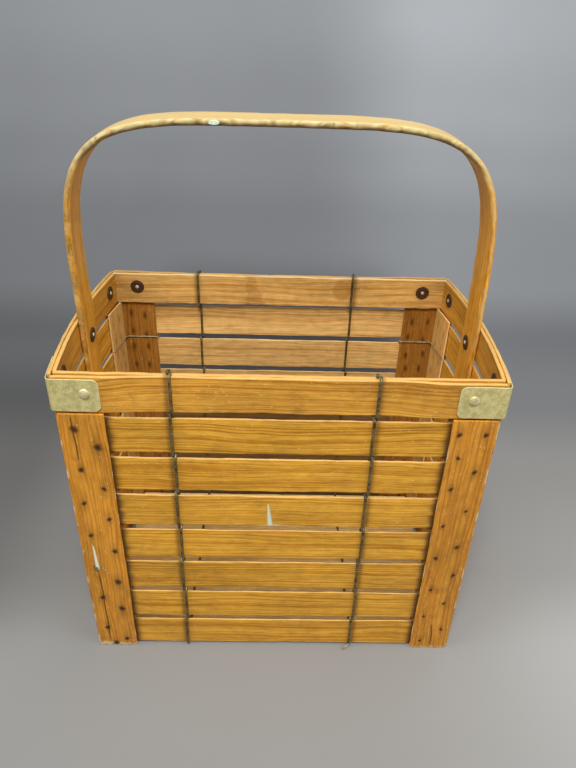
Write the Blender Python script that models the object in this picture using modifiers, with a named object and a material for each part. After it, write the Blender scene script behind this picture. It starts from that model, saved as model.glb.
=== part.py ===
"""Bread delivery basket: a splint-wood crate with a bent handle, in metres, +Z up.

The basket is long in X, the handle arches over X, and the front looks towards -Y.
The origin is on the ground at the middle of the basket.
"""
import math

import bmesh
import bpy
from mathutils import Matrix, Vector

# Overall body, measured outside the wall slats at the corners
BODY_LENGTH = 0.3930
BODY_DEPTH = 0.2462

# Clearance that neighbouring pieces keep
FIT = 0.0003

# Pieces that are nailed or peened fast and make one body sink this far into each other
NAILED_OVERLAP = 0.0001

# Wall slats
SLAT_COUNT = 7
SLAT_HEIGHT = 0.0390
SLAT_PITCH = 0.0450
SLAT_LIFT = 0.0029
SLAT_THICK = 0.0026
SLAT_EDGE = 0.0007

# Corner posts outside the slats and corner boards inside them
POST_WIDTH = 0.0415
POST_THICK = 0.0030
POST_OVERHANG = 0.0005
POST_EDGE = 0.0008
BOARD_WIDTH = 0.0415
BOARD_THICK = 0.0024
BOARD_TOP_DROP = 0.0020
BOARD_LIFT = 0.0005

# Rim bands
RIM_HEIGHT = 0.0370
RIM_GAP = 0.0051
BAND_THICK = 0.0040
END_OUTER_BAND_THICK = 0.0034
BAND_OVERHANG = 0.0013
BAND_EDGE = 0.0008
END_BAND_SETBACK = 0.0022
END_BAND_SHORT = 0.0019
END_BOW = 0.0083
PINCH_HALF_LENGTH = 0.1000
PINCH_RUN = 0.0550

# Handle
HANDLE_WIDTH = 0.0390
HANDLE_THICK = 0.0065
HANDLE_RISE = 0.1935
HANDLE_SPRING_DROP = 0.0040
HANDLE_SQUARENESS = 4.6
HANDLE_LEAN = 0.0030
HANDLE_EDGE = 0.0016
LEG_INSET = 0.0050
LEG_LIFT = 0.0030
LEG_SEAT_MARGIN = 0.0015

# Corner brackets
BRACKET_THICK = 0.0012
BRACKET_LEAF = 0.0455
BRACKET_HEIGHT = 0.0330
BRACKET_BEND = 0.0040
BRACKET_CORNER = 0.0060

# Rivets and burrs
RIVET_OFFSET = 0.0335
RIVET_RISE = 0.0025
LEG_RIVET_DROP = 0.0045
RIVET_RADIUS = 0.0020
RIVET_HEAD_RADIUS = 0.0040
RIVET_HEAD_HEIGHT = 0.0014
PEEN_RADIUS = 0.0031
PEEN_HEIGHT = 0.0012
BURR_RADIUS = 0.0080
BURR_THICK = 0.0010
TURNED_SIDES = 10

# Bottom
BOTTOM_COUNT = 5
BOTTOM_GAP = 0.0060
BOTTOM_MARGIN = 0.0015
BOTTOM_THICK = 0.0050
CLEAT_WIDTH = 0.0210
CLEAT_THICK = 0.0097
CLEAT_LIFT = 0.0020
CLEAT_INSET = 0.0035

# Wires
WIRE_DIAMETER = 0.0024
LEFT_WIRE_X = -0.0970
RIGHT_WIRE_X = 0.0860
WIRE_CROSSING = 0.0015
WIRE_LAY = 0.0008
WIRE_TAIL = 0.0075
TIE_DIAMETER = 0.0014

# Worked out from the sizes above
HALF_X = BODY_LENGTH / 2
HALF_Y = BODY_DEPTH / 2
WIRE_RADIUS = WIRE_DIAMETER / 2
WIRE_SEAT = WIRE_RADIUS + FIT
TIE_RADIUS = TIE_DIAMETER / 2
TIE_SEAT = TIE_RADIUS + FIT
RIM_BOTTOM = SLAT_LIFT + (SLAT_COUNT - 1) * SLAT_PITCH + SLAT_HEIGHT + RIM_GAP
RIM_TOP = RIM_BOTTOM + RIM_HEIGHT
RIM_MIDDLE = (RIM_BOTTOM + RIM_TOP) / 2
RIVET_Z = RIM_MIDDLE + RIVET_RISE
LEG_RIVET_Z = RIM_MIDDLE - LEG_RIVET_DROP
HOLE_RADIUS = RIVET_RADIUS + FIT
CLEAT_TOP = CLEAT_LIFT + CLEAT_THICK
BOTTOM_LOW = CLEAT_TOP - NAILED_OVERLAP
BOTTOM_HIGH = BOTTOM_LOW + BOTTOM_THICK

# Distances from the basket's middle, outwards, of each layer of the long walls
SLAT_INNER_Y = HALF_Y - SLAT_THICK
POST_INNER_Y = HALF_Y + FIT
POST_OUTER_Y = POST_INNER_Y + POST_THICK
BOARD_OUTER_Y = SLAT_INNER_Y - FIT
BOARD_INNER_Y = BOARD_OUTER_Y - BOARD_THICK
INNER_BAND_OUTER_Y = BOARD_INNER_Y - FIT
INNER_BAND_INNER_Y = INNER_BAND_OUTER_Y - BAND_THICK
BRACKET_INNER_Y = SLAT_INNER_Y + BAND_THICK + FIT

# The same for the end walls
SLAT_INNER_X = HALF_X - SLAT_THICK
POST_INNER_X = HALF_X + FIT
POST_OUTER_X = POST_INNER_X + POST_THICK
BOARD_OUTER_X = SLAT_INNER_X - FIT
BOARD_INNER_X = BOARD_OUTER_X - BOARD_THICK
END_BAND_INNER_X = HALF_X - END_BAND_SETBACK
END_OUTER_BAND_INNER_X = END_BAND_INNER_X + BAND_THICK + FIT
END_OUTER_BAND_OUTER_X = END_OUTER_BAND_INNER_X + END_OUTER_BAND_THICK
BRACKET_INNER_X = END_OUTER_BAND_OUTER_X + FIT
END_OUTER_BAND_HALF = SLAT_INNER_Y - END_BAND_SHORT
END_INNER_BAND_HALF = INNER_BAND_INNER_Y - FIT
END_BOARD_OUTER_Y = BOARD_INNER_Y - FIT
END_BOARD_INNER_Y = END_BOARD_OUTER_Y - BOARD_WIDTH
LEG_HALF = HANDLE_WIDTH / 2

SIDES = {"front": -1, "back": 1, "left": -1, "right": 1}


def clear_scene():
    for item in list(bpy.data.objects):
        bpy.data.objects.remove(item, do_unlink=True)


def new_collection(name):
    collection = bpy.data.collections.new(name)
    bpy.context.scene.collection.children.link(collection)
    return collection


def linear(value):
    """Turn one sRGB channel, 0 to 255, into a linear value."""
    share = value / 255
    if share <= 0.04045:
        return share / 12.92
    return ((share + 0.055) / 1.055) ** 2.4


def material(name, red, green, blue, roughness, metallic=0.0):
    made = bpy.data.materials.new(name)
    made.use_nodes = True
    shader = made.node_tree.nodes["Principled BSDF"]
    shader.inputs["Base Color"].default_value = (linear(red), linear(green), linear(blue), 1)
    shader.inputs["Roughness"].default_value = roughness
    shader.inputs["Metallic"].default_value = metallic
    return made


clear_scene()
BASKET = new_collection("bread_delivery_basket")
CUTTERS = new_collection("cutters")
GOLDEN_SLAT = material("golden_slat", 200, 145, 60, 0.45)
INNER_SLAT = material("inner_slat", 206, 165, 103, 0.5)
BROWN_POST = material("brown_post", 190, 125, 50, 0.5)
RIM_WOOD = material("rim_wood", 205, 150, 70, 0.42)
HANDLE_WOOD = material("handle_wood", 196, 138, 60, 0.4)
BOTTOM_WOOD = material("bottom_wood", 190, 145, 85, 0.6)
ZINC = material("dull_zinc", 160, 158, 128, 0.5, 0.8)
RIVET_STEEL = material("rivet_steel", 150, 140, 118, 0.45, 0.9)
WIRE_STEEL = material("wire_steel", 84, 68, 46, 0.55, 0.8)

BASE = bpy.data.objects.new("basket_base", None)
BASKET.objects.link(BASE)


def place(name, data, finish, location=(0, 0, 0)):
    """Put a mesh or a curve into the basket, parented to its base."""
    made = bpy.data.objects.new(name, data)
    data.materials.append(finish)
    made.location = location
    made.parent = BASE
    BASKET.objects.link(made)
    return made


def round_edges(piece, width, segments=1):
    bevel = piece.modifiers.new("rounded_edges", "BEVEL")
    bevel.width = width
    bevel.segments = segments
    bevel.limit_method = "ANGLE"
    bevel.angle_limit = math.radians(50)


def drill(piece, cutter):
    cut = piece.modifiers.new("rivet_holes", "BOOLEAN")
    cut.operation = "DIFFERENCE"
    cut.solver = "EXACT"
    cut.object = cutter


def on_wall(side, along, out):
    """Plan position of a point, given along its wall and out from the basket's middle."""
    if side in ("front", "back"):
        return (along, SIDES[side] * out)
    return (SIDES[side] * out, along)


def smooth_step(value, low, high):
    share = min(max((value - low) / (high - low), 0), 1)
    return share * share * (3 - 2 * share)


def bow(along):
    """How far an end band bulges out at this distance from its middle."""
    return END_BOW * (1 - (along / END_OUTER_BAND_HALF) ** 2)


def blocks_mesh(name, sides):
    """Mesh of straight pieces, each given by its low and high corner, and its middle."""
    low = Vector([min(corner[axis] for corner, _ in sides) for axis in range(3)])
    high = Vector([max(corner[axis] for _, corner in sides) for axis in range(3)])
    middle = (low + high) / 2
    shape = bmesh.new()
    for first, last in sides:
        first, last = Vector(first), Vector(last)
        at = Matrix.Translation((first + last) / 2 - middle)
        bmesh.ops.create_cube(shape, size=1, matrix=at @ Matrix.Diagonal([*(last - first), 1]))
    mesh = bpy.data.meshes.new(name)
    shape.to_mesh(mesh)
    shape.free()
    return mesh, middle


def block(name, sides, finish, edge):
    """Straight pieces as one object, with their edges rounded."""
    mesh, middle = blocks_mesh(name, sides)
    piece = place(name, mesh, finish, middle)
    round_edges(piece, edge)
    return piece


def guide(name, mesh, location=(0, 0, 0)):
    """A hidden object that a Boolean modifier reads."""
    made = bpy.data.objects.new(name, mesh)
    made.location = location
    made.hide_render = True
    made.display_type = "WIRE"
    made.parent = BASE
    CUTTERS.objects.link(made)
    return made


def fuse(piece, other):
    join = piece.modifiers.new("fused", "BOOLEAN")
    join.operation = "UNION"
    join.solver = "EXACT"
    join.object = other


def wall_corners(side, along, out, height):
    """Low and high corner of a box on a wall, from its three ranges."""
    first = on_wall(side, along[0], out[0])
    last = on_wall(side, along[1], out[1])
    low = (min(first[0], last[0]), min(first[1], last[1]), height[0])
    high = (max(first[0], last[0]), max(first[1], last[1]), height[1])
    return low, high


def sheet_mesh(name, first_edge, second_edge, outward):
    """A grid between a strip's two long edges, facing outward, and its middle."""
    points = [Vector(point) for pair in zip(first_edge, second_edge) for point in pair]
    middle = sum(points, Vector()) / len(points)
    shape = bmesh.new()
    bmesh.ops.create_grid(shape, x_segments=len(first_edge) - 1, y_segments=1, size=1)
    rows = sorted(shape.verts, key=lambda vertex: (round(vertex.co.x, 4), vertex.co.y))
    for vertex, point in zip(rows, points):
        vertex.co = point - middle
    shape.normal_update()
    shape.faces.ensure_lookup_table()
    if shape.faces[len(shape.faces) // 2].normal.dot(Vector(outward)) < 0:
        bmesh.ops.reverse_faces(shape, faces=shape.faces)
    mesh = bpy.data.meshes.new(name)
    shape.to_mesh(mesh)
    shape.free()
    return mesh, middle


def thicken(piece, thick):
    """Give a sheet its thickness, on the side that it faces."""
    body = piece.modifiers.new("thickness", "SOLIDIFY")
    body.thickness = thick
    body.offset = 1
    body.use_even_offset = True


def bent_strip(name, path, half_widths, across, thick, finish, outward):
    """A strip bent along a path: a flat grid laid on it, then given its thickness.

    path holds 3D points on one face, across is the direction of the strip's width,
    and the thickness grows towards outward.
    """
    shifts = [Vector(across) * half for half in half_widths]
    low = [Vector(point) - shift for point, shift in zip(path, shifts)]
    high = [Vector(point) + shift for point, shift in zip(path, shifts)]
    mesh, middle = sheet_mesh(name, low, high, outward)
    piece = place(name, mesh, finish, middle)
    thicken(piece, thick)
    return piece


def wall_strip(name, side, stations, thick, low, high, finish):
    """A bent strip on a wall, from (along, out) stations on its inner face."""
    height = (low + high) / 2
    path = [(*on_wall(side, along, out), height) for along, out in stations]
    outward = (*on_wall(side, 0, 1), 0)
    halves = [(high - low) / 2] * len(path)
    return bent_strip(name, path, halves, (0, 0, 1), thick, finish, outward)


def steps_between(first, last, count):
    return [first + (last - first) * step / count for step in range(count + 1)]


def mirrored(stations):
    """Stations from an end to the middle, repeated backwards to the other end."""
    return [(-along, out) for along, out in stations] + list(reversed(stations))


def bottom_slat_ranges():
    """Low and high Y of each lengthwise bottom slat, from front to back."""
    reach = BOARD_INNER_Y - BOTTOM_MARGIN
    width = (2 * reach - (BOTTOM_COUNT - 1) * BOTTOM_GAP) / BOTTOM_COUNT
    starts = [-reach + number * (width + BOTTOM_GAP) for number in range(BOTTOM_COUNT)]
    return [(start, start + width) for start in starts]


def slat_low(level):
    return SLAT_LIFT + (level - 1) * SLAT_PITCH


def leg_face(height):
    """Outer face of the handle's leg at a height: upright at the rim, leaning in below it."""
    seat = END_BAND_INNER_X + bow(LEG_HALF) - FIT
    below = max(RIM_BOTTOM - height, 0) / RIM_BOTTOM
    return seat - LEG_INSET * below


def bulge(along, height):
    """How far the end wall stands out at this distance from its middle and this height.

    It is full over the handle's leg and dies away as a parabola at the corner boards.
    """
    flat_half = LEG_HALF + LEG_SEAT_MARGIN
    share = max(abs(along) - flat_half, 0) / (BOARD_INNER_Y - flat_half)
    return (leg_face(height) + FIT - SLAT_INNER_X) * max(1 - share ** 2, 0)


def end_wall_sheet(name, side, stations, low, high, out):
    """Sheet of a board that follows the end wall's bulge, from stations along the wall."""
    edges = [[(*on_wall(side, along, out + bulge(along, height)), height) for along in stations]
             for height in (low, high)]
    return sheet_mesh(name, *edges, (*on_wall(side, 0, 1), 0))


def rivet_axes():
    """Outside point, direction out and grip of each rivet."""
    axes = []
    long_grip = BRACKET_INNER_Y + BRACKET_THICK - INNER_BAND_INNER_Y
    end_grip = BRACKET_INNER_X + BRACKET_THICK - END_BAND_INNER_X
    rivet_x = BRACKET_INNER_X + BRACKET_THICK - RIVET_OFFSET
    rivet_y = BRACKET_INNER_Y + BRACKET_THICK - RIVET_OFFSET
    slope = 2 * END_BOW * rivet_y / END_OUTER_BAND_HALF ** 2
    for across in (-1, 1):
        for over in (-1, 1):
            face_y = over * (BRACKET_INNER_Y + BRACKET_THICK)
            axes.append(((across * rivet_x, face_y, RIVET_Z), (0, over, 0), long_grip))
            tilt = Vector((across, over * slope, 0)).normalized()
            face_x = across * (BRACKET_INNER_X + BRACKET_THICK + bow(rivet_y))
            axes.append(((face_x, over * rivet_y, RIVET_Z), tilt, end_grip))
    for across in (-1, 1):
        face_x = END_OUTER_BAND_OUTER_X + END_BOW
        leg_grip = face_x - leg_face(LEG_RIVET_Z) + HANDLE_THICK
        axes.append(((across * face_x, 0, LEG_RIVET_Z), (across, 0, 0), leg_grip))
    return axes


def stood_on(point, direction):
    """Matrix that puts local +Z along a direction, at a point."""
    turn = Vector(direction).to_track_quat("Z", "Y").to_matrix().to_4x4()
    return Matrix.Translation(point) @ turn


def rivet_hole_cutter():
    """One drill for each rivet, longer than the grip at both ends."""
    overrun = 0.0060
    shape = bmesh.new()
    for point, direction, grip in rivet_axes():
        middle = Vector(point) - Vector(direction) * grip / 2
        bmesh.ops.create_cone(shape, cap_ends=True, segments=TURNED_SIDES, radius1=HOLE_RADIUS,
                              radius2=HOLE_RADIUS, depth=grip + 2 * overrun,
                              matrix=stood_on(middle, direction))
    mesh = bpy.data.meshes.new("rivet_drills")
    shape.to_mesh(mesh)
    shape.free()
    return guide("rivet_drills", mesh)


DRILLS = rivet_hole_cutter()


def wall_slats():
    """Straight slats on the long walls, and on the ends slats that bulge round the legs."""
    inward = steps_between(BOARD_INNER_Y, LEG_HALF + LEG_SEAT_MARGIN, 5)
    half = [SLAT_INNER_Y - FIT] + inward
    stations = [-along for along in half] + list(reversed(half))
    for level in range(1, SLAT_COUNT + 1):
        low = slat_low(level)
        high = low + SLAT_HEIGHT
        for side in ("front", "back"):
            finish = GOLDEN_SLAT if side == "front" else INNER_SLAT
            span = wall_corners(side, (-HALF_X, HALF_X), (SLAT_INNER_Y, HALF_Y), (low, high))
            block(f"{side}_slat_{level}", [span], finish, SLAT_EDGE)
        for side in ("left", "right"):
            name = f"{side}_slat_{level}"
            mesh, middle = end_wall_sheet(name, side, stations, low, high, SLAT_INNER_X)
            piece = place(name, mesh, GOLDEN_SLAT, middle)
            thicken(piece, SLAT_THICK)
            round_edges(piece, SLAT_EDGE)


def corner_posts():
    """Two outer boards at each corner, one on the long wall and one on the end wall."""
    top = RIM_BOTTOM - FIT
    front_edge = HALF_X + POST_OVERHANG
    stations = [HALF_Y] + steps_between(BOARD_INNER_Y, HALF_Y - POST_WIDTH, 2)
    for long_side in ("front", "back"):
        for end_side in ("left", "right"):
            reach = SIDES[end_side]
            along = (reach * front_edge, reach * (front_edge - POST_WIDTH))
            span = wall_corners(long_side, along, (POST_INNER_Y, POST_OUTER_Y), (0, top))
            block(f"{long_side}_post_{end_side}", [span], BROWN_POST, POST_EDGE)
            name = f"{end_side}_post_{long_side}"
            along = [SIDES[long_side] * station for station in stations]
            mesh, middle = end_wall_sheet(name, end_side, along, 0, top, POST_INNER_X)
            piece = place(name, mesh, BROWN_POST, middle)
            thicken(piece, POST_THICK)
            round_edges(piece, POST_EDGE)


def inner_corner_boards():
    """Inside each corner, a tall board caught between the rim bands, nailed to a short one."""
    top = RIM_TOP - BOARD_TOP_DROP
    foot = BOARD_LIFT + 2 * POST_EDGE
    stations = steps_between(BOARD_INNER_Y + BOARD_THICK / 4, END_BOARD_INNER_Y, 3)
    for long_side in ("front", "back"):
        for end_side in ("left", "right"):
            name = f"inner_corner_{long_side}_{end_side}"
            reach = SIDES[end_side]
            along = (reach * BOARD_OUTER_X, reach * (BOARD_OUTER_X - BOARD_WIDTH))
            tall = wall_corners(long_side, along, (BOARD_INNER_Y, BOARD_OUTER_Y), (BOARD_LIFT, top))
            piece = block(name, [tall], INNER_SLAT, POST_EDGE)
            along = [SIDES[long_side] * station for station in stations]
            mesh, middle = end_wall_sheet(f"{name}_short", end_side, along, foot,
                                          RIM_BOTTOM - FIT, BOARD_INNER_X)
            short = guide(f"{name}_short", mesh, middle)
            thicken(short, BOARD_THICK - POST_EDGE - NAILED_OVERLAP)
            fuse(piece, short)
            drill(piece, DRILLS)


def rim_bands():
    """Outer and inner band on each wall, with the corner boards caught between them."""
    ends = HALF_X + BAND_OVERHANG
    outer = [(ends, SLAT_INNER_Y)]
    for along in steps_between(PINCH_HALF_LENGTH + PINCH_RUN, PINCH_HALF_LENGTH, 6):
        spread = smooth_step(along, PINCH_HALF_LENGTH, PINCH_HALF_LENGTH + PINCH_RUN)
        pinched = INNER_BAND_OUTER_Y + FIT
        outer.append((along, pinched + (SLAT_INNER_Y - pinched) * spread))
    inner = [(-ends, INNER_BAND_INNER_Y), (ends, INNER_BAND_INNER_Y)]
    for side in ("front", "back"):
        bands = [wall_strip(f"rim_outer_{side}", side, mirrored(outer), BAND_THICK,
                            RIM_BOTTOM, RIM_TOP, RIM_WOOD),
                 wall_strip(f"rim_inner_{side}", side, inner, BAND_THICK,
                            RIM_BOTTOM, RIM_TOP, RIM_WOOD)]
        for band in bands:
            round_edges(band, BAND_EDGE)
            drill(band, DRILLS)
    for side in ("left", "right"):
        outer = [(along, END_OUTER_BAND_INNER_X + bow(along))
                 for along in steps_between(-END_OUTER_BAND_HALF, END_OUTER_BAND_HALF, 12)]
        inner = [(along, END_BAND_INNER_X + bow(along))
                 for along in steps_between(-END_INNER_BAND_HALF, END_INNER_BAND_HALF, 12)]
        bands = [wall_strip(f"rim_outer_{side}", side, outer, END_OUTER_BAND_THICK,
                            RIM_BOTTOM, RIM_TOP, RIM_WOOD),
                 wall_strip(f"rim_inner_{side}", side, inner, BAND_THICK,
                            RIM_BOTTOM, RIM_TOP, RIM_WOOD)]
        for band in bands:
            round_edges(band, BAND_EDGE)
            drill(band, DRILLS)


def handle_outer_face():
    """Points up one leg, round the arch and down the other, on the outer face.

    The arch is a superellipse, with points where it has turned by equal angles.
    """
    quarter_steps = 13
    spring = RIM_TOP - HANDLE_SPRING_DROP
    span = leg_face(spring)
    rise = RIM_TOP + HANDLE_RISE - spring
    power = HANDLE_SQUARENESS
    quarter = []
    for step in range(1, quarter_steps):
        turned = math.tan(math.radians(90) * step / quarter_steps)
        angle = math.atan((rise / span * turned) ** (power / (2 * (power - 1))))
        quarter.append((span * math.cos(angle) ** (2 / power),
                        spring + rise * math.sin(angle) ** (2 / power)))
    leg = [(leg_face(LEG_LIFT), LEG_LIFT), (leg_face(RIM_BOTTOM), RIM_BOTTOM), (span, spring)]
    half = leg + quarter
    face = half + [(0, spring + rise)] + [(-out, height) for out, height in reversed(half)]
    leaned = []
    for out, height in face:
        lean = HANDLE_LEAN * max(height - spring, 0) / rise
        leaned.append((out - lean, 0, height))
    return leaned


def handle():
    """One steam-bent strip: the grip, two shoulders and the legs inside the end walls."""
    path = handle_outer_face()
    halves = [LEG_HALF] * len(path)
    piece = bent_strip("handle", path, halves, (0, 1, 0), HANDLE_THICK, HANDLE_WOOD, (0, 0, -1))
    round_edges(piece, HANDLE_EDGE, 2)
    drill(piece, DRILLS)


def bracket_stations():
    """Inner face of a bracket: free end on the long wall, the bend, then along the end wall."""
    corner_x = BRACKET_INNER_X + bow(BRACKET_INNER_Y)
    free_x = corner_x + BRACKET_THICK - BRACKET_LEAF
    free_y = BRACKET_INNER_Y + BRACKET_THICK - BRACKET_LEAF
    rounding = [BRACKET_CORNER * (1 - math.cos(math.radians(90) * step / 3)) for step in range(4)]
    stations = [(free_x + inset, BRACKET_INNER_Y) for inset in rounding]
    start = Vector((corner_x - BRACKET_BEND, BRACKET_INNER_Y))
    end_y = BRACKET_INNER_Y - BRACKET_BEND
    end = Vector((BRACKET_INNER_X + bow(end_y), end_y))
    corner = Vector((corner_x, BRACKET_INNER_Y))
    for step in range(5):
        share = step / 4
        near = start.lerp(corner, share)
        far = corner.lerp(end, share)
        stations.append(tuple(near.lerp(far, share)))
    leaf = steps_between(end_y, free_y + BRACKET_CORNER, 4)[1:]
    leaf += [free_y + inset for inset in reversed(rounding[:-1])]
    stations += [(BRACKET_INNER_X + bow(along), along) for along in leaf]
    halves = []
    for number in range(len(stations)):
        from_end = min(number, len(stations) - 1 - number, 3)
        cut_back = BRACKET_CORNER * (1 - math.sin(math.radians(90) * from_end / 3))
        halves.append(BRACKET_HEIGHT / 2 - cut_back)
    return stations, halves


def turned(profile, name):
    """Mesh of a profile of (radius, height) points turned round the Z axis."""
    outline = bmesh.new()
    points = [outline.verts.new((radius, 0, height)) for radius, height in profile]
    for first, last in zip(points, points[1:]):
        outline.edges.new((first, last))
    mesh = bpy.data.meshes.new(f"{name}_profile")
    outline.to_mesh(mesh)
    outline.free()
    spun = bpy.data.objects.new(name, mesh)
    BASKET.objects.link(spun)
    screw = spun.modifiers.new("turned", "SCREW")
    screw.steps = TURNED_SIDES
    screw.render_steps = TURNED_SIDES
    screw.use_merge_vertices = True
    screw.merge_threshold = 0.00001
    bpy.context.view_layer.update()
    seen = spun.evaluated_get(bpy.context.evaluated_depsgraph_get())
    made = bpy.data.meshes.new_from_object(seen)
    bpy.data.objects.remove(spun, do_unlink=True)
    made.shade_smooth()
    made.set_sharp_from_angle(angle=math.radians(40))
    return made


def rivet_profile(grip, seat):
    """Dished head, shank, and the end peened over its burr, a wide washer."""
    burr_face = -(grip + FIT)
    burr_back = burr_face - BURR_THICK
    return [(0, seat + RIVET_HEAD_HEIGHT * 0.55),
            (RIVET_HEAD_RADIUS * 0.45, seat + RIVET_HEAD_HEIGHT * 0.6),
            (RIVET_HEAD_RADIUS * 0.75, seat + RIVET_HEAD_HEIGHT),
            (RIVET_HEAD_RADIUS, seat + RIVET_HEAD_HEIGHT * 0.6),
            (RIVET_HEAD_RADIUS, seat),
            (RIVET_RADIUS, seat),
            (RIVET_RADIUS, burr_face),
            (BURR_RADIUS, burr_face),
            (BURR_RADIUS * 0.94, burr_back),
            (PEEN_RADIUS, burr_back),
            (PEEN_RADIUS * 0.7, burr_back - PEEN_HEIGHT * 0.8),
            (0, burr_back - PEEN_HEIGHT)]


def corner_brackets():
    """A zinc strap folded round each corner of the rim, fused with the two rivets that hold it."""
    stations, halves = bracket_stations()
    for long_side in ("front", "back"):
        for end_side in ("left", "right"):
            name = f"bracket_{long_side}_{end_side}"
            path = [(SIDES[end_side] * x, SIDES[long_side] * y, RIM_MIDDLE) for x, y in stations]
            outward = (SIDES[end_side], SIDES[long_side], 0)
            piece = bent_strip(name, path, halves, (0, 0, 1), BRACKET_THICK, ZINC, outward)
            for point, direction, grip in rivet_axes():
                here = point[0] * SIDES[end_side] > 0 and point[1] * SIDES[long_side] > 0
                if here:
                    rivet = turned(rivet_profile(grip, -NAILED_OVERLAP), f"{name}_rivet")
                    rivet.transform(stood_on(point, direction))
                    fuse(piece, guide(f"{name}_rivet", rivet))


def leg_rivets():
    """A rivet through both end bands and the leg on each side, with its burr inside."""
    for point, direction, grip in rivet_axes():
        if point[1] == 0:
            side = "left" if point[0] < 0 else "right"
            mesh = turned(rivet_profile(grip, FIT), f"leg_rivet_{side}")
            rivet = place(f"leg_rivet_{side}", mesh, RIVET_STEEL)
            rivet.matrix_local = stood_on(point, direction)


def bottom():
    """Lengthwise slats nailed down on two cross cleats, inside the feet of the corners."""
    cleat_x = BOARD_INNER_X - CLEAT_INSET
    half_y = BOARD_INNER_Y - FIT
    cleats = [((-cleat_x, -half_y, CLEAT_LIFT), (CLEAT_WIDTH - cleat_x, half_y, CLEAT_TOP)),
              ((cleat_x - CLEAT_WIDTH, -half_y, CLEAT_LIFT), (cleat_x, half_y, CLEAT_TOP))]
    piece = block("bottom_frame", cleats, BOTTOM_WOOD, SLAT_EDGE)
    half_x = BOARD_INNER_X - BOTTOM_MARGIN
    slats = [((-half_x, low, BOTTOM_LOW), (half_x, high, BOTTOM_HIGH))
             for low, high in bottom_slat_ranges()]
    mesh, middle = blocks_mesh("bottom_slats", slats)
    slats = guide("bottom_slats", mesh, middle)
    round_edges(slats, SLAT_EDGE)
    fuse(piece, slats)


def wire(name, route, radius):
    """A round wire along a route."""
    curve = bpy.data.curves.new(name, "CURVE")
    curve.dimensions = "3D"
    curve.bevel_depth = radius
    curve.bevel_resolution = 1
    curve.use_fill_caps = True
    spline = curve.splines.new("POLY")
    spline.points.add(len(route) - 1)
    for point, position in zip(spline.points, route):
        point.co = (*position, 1)
    place(name, curve, WIRE_STEEL)


def wall_strand(outside_at_foot):
    """One strand from the rim's top down a wall, as (shift, out, height) points.

    It lies outside one slat and inside the next, and crosses its twin in every gap. The
    shift is along the wall: WIRE_LAY on a slat and WIRE_CROSSING in a gap.
    """
    outside = HALF_Y + WIRE_SEAT
    inside = SLAT_INNER_Y - WIRE_SEAT
    middle = (outside + inside) / 2
    gap = SLAT_PITCH - SLAT_HEIGHT
    lead = WIRE_RADIUS * 0.8
    at_slat = outside if outside_at_foot == (SLAT_COUNT % 2 == 1) else inside
    at_rim = rim_strand_out(at_slat == inside)
    top_of_slats = slat_low(SLAT_COUNT) + SLAT_HEIGHT
    route = [(WIRE_LAY, at_rim, RIM_TOP + WIRE_RADIUS),
             (WIRE_LAY, at_rim, RIM_BOTTOM - WIRE_SEAT),
             (WIRE_CROSSING, (at_rim + at_slat) / 2, (RIM_BOTTOM + top_of_slats) / 2)]
    for level in range(SLAT_COUNT, 0, -1):
        low = slat_low(level)
        over = WIRE_SEAT if level == SLAT_COUNT else lead
        route.append((WIRE_LAY, at_slat, low + SLAT_HEIGHT + over))
        if level > 1:
            route.append((WIRE_LAY, at_slat, low - lead))
            route.append((WIRE_CROSSING, middle, low - gap / 2))
            at_slat = inside + outside - at_slat
    if outside_at_foot:
        route.append((WIRE_LAY, outside, SLAT_LIFT - lead))
        route.append((WIRE_CROSSING, middle, SLAT_LIFT - WIRE_SEAT))
        route.append((WIRE_CROSSING, inside, SLAT_LIFT))
    else:
        route.append((WIRE_LAY, inside, BOTTOM_HIGH + 2 * WIRE_DIAMETER))
    return route


def rim_strand_out(outside):
    """Distance out of a strand over the pinched rim, outside or inside it."""
    if outside:
        return INNER_BAND_OUTER_Y + FIT + BAND_THICK + WIRE_SEAT
    return INNER_BAND_INNER_Y - WIRE_SEAT


def floor_strand(below_first):
    """One strand from the front wall's foot to the back wall's, woven round the bottom slats."""
    below = BOTTOM_LOW - WIRE_SEAT
    above = BOTTOM_HIGH + WIRE_SEAT
    lead = WIRE_RADIUS * 0.8
    at_slat = below if below_first else above
    route = []
    for number, (low, high) in enumerate(bottom_slat_ranges()):
        route.append((WIRE_LAY, low - lead, at_slat))
        route.append((WIRE_LAY, high + lead, at_slat))
        if number < BOTTOM_COUNT - 1:
            route.append((WIRE_CROSSING, high + BOTTOM_GAP / 2, (below + above) / 2))
            at_slat = below + above - at_slat
    return route


def doubled_wire(across):
    """A wire doubled over the back rim, both strands twined down the back, under the
    bottom and up the front, with two tails above the front rim.
    """
    rim_middle = (rim_strand_out(True) + rim_strand_out(False)) / 2
    bend = RIM_TOP + 3 * WIRE_RADIUS
    route = []
    for hand, outer in ((-1, True), (1, False)):
        wall = wall_strand(outer)
        tail = [(WIRE_CROSSING, rim_middle, bend + WIRE_TAIL * (0.7 if outer else 0.9)),
                (WIRE_CROSSING, rim_middle, bend)]
        front = [(shift, -out, height) for shift, out, height in tail + wall]
        back = list(reversed(wall))
        strand = front + floor_strand(outer) + back
        strand.append((WIRE_LAY, (wall[0][1] + rim_middle) / 2, bend + WIRE_RADIUS * 0.5))
        strand = [(across + hand * shift, y, height) for shift, y, height in strand]
        route = strand if outer else route + [(across, rim_middle, bend + WIRE_RADIUS)]
        if not outer:
            route += list(reversed(strand))
    return route


def binding_wires():
    wire("binding_wire_left", doubled_wire(LEFT_WIRE_X), WIRE_RADIUS)
    wire("binding_wire_right", doubled_wire(RIGHT_WIRE_X), WIRE_RADIUS)


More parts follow.
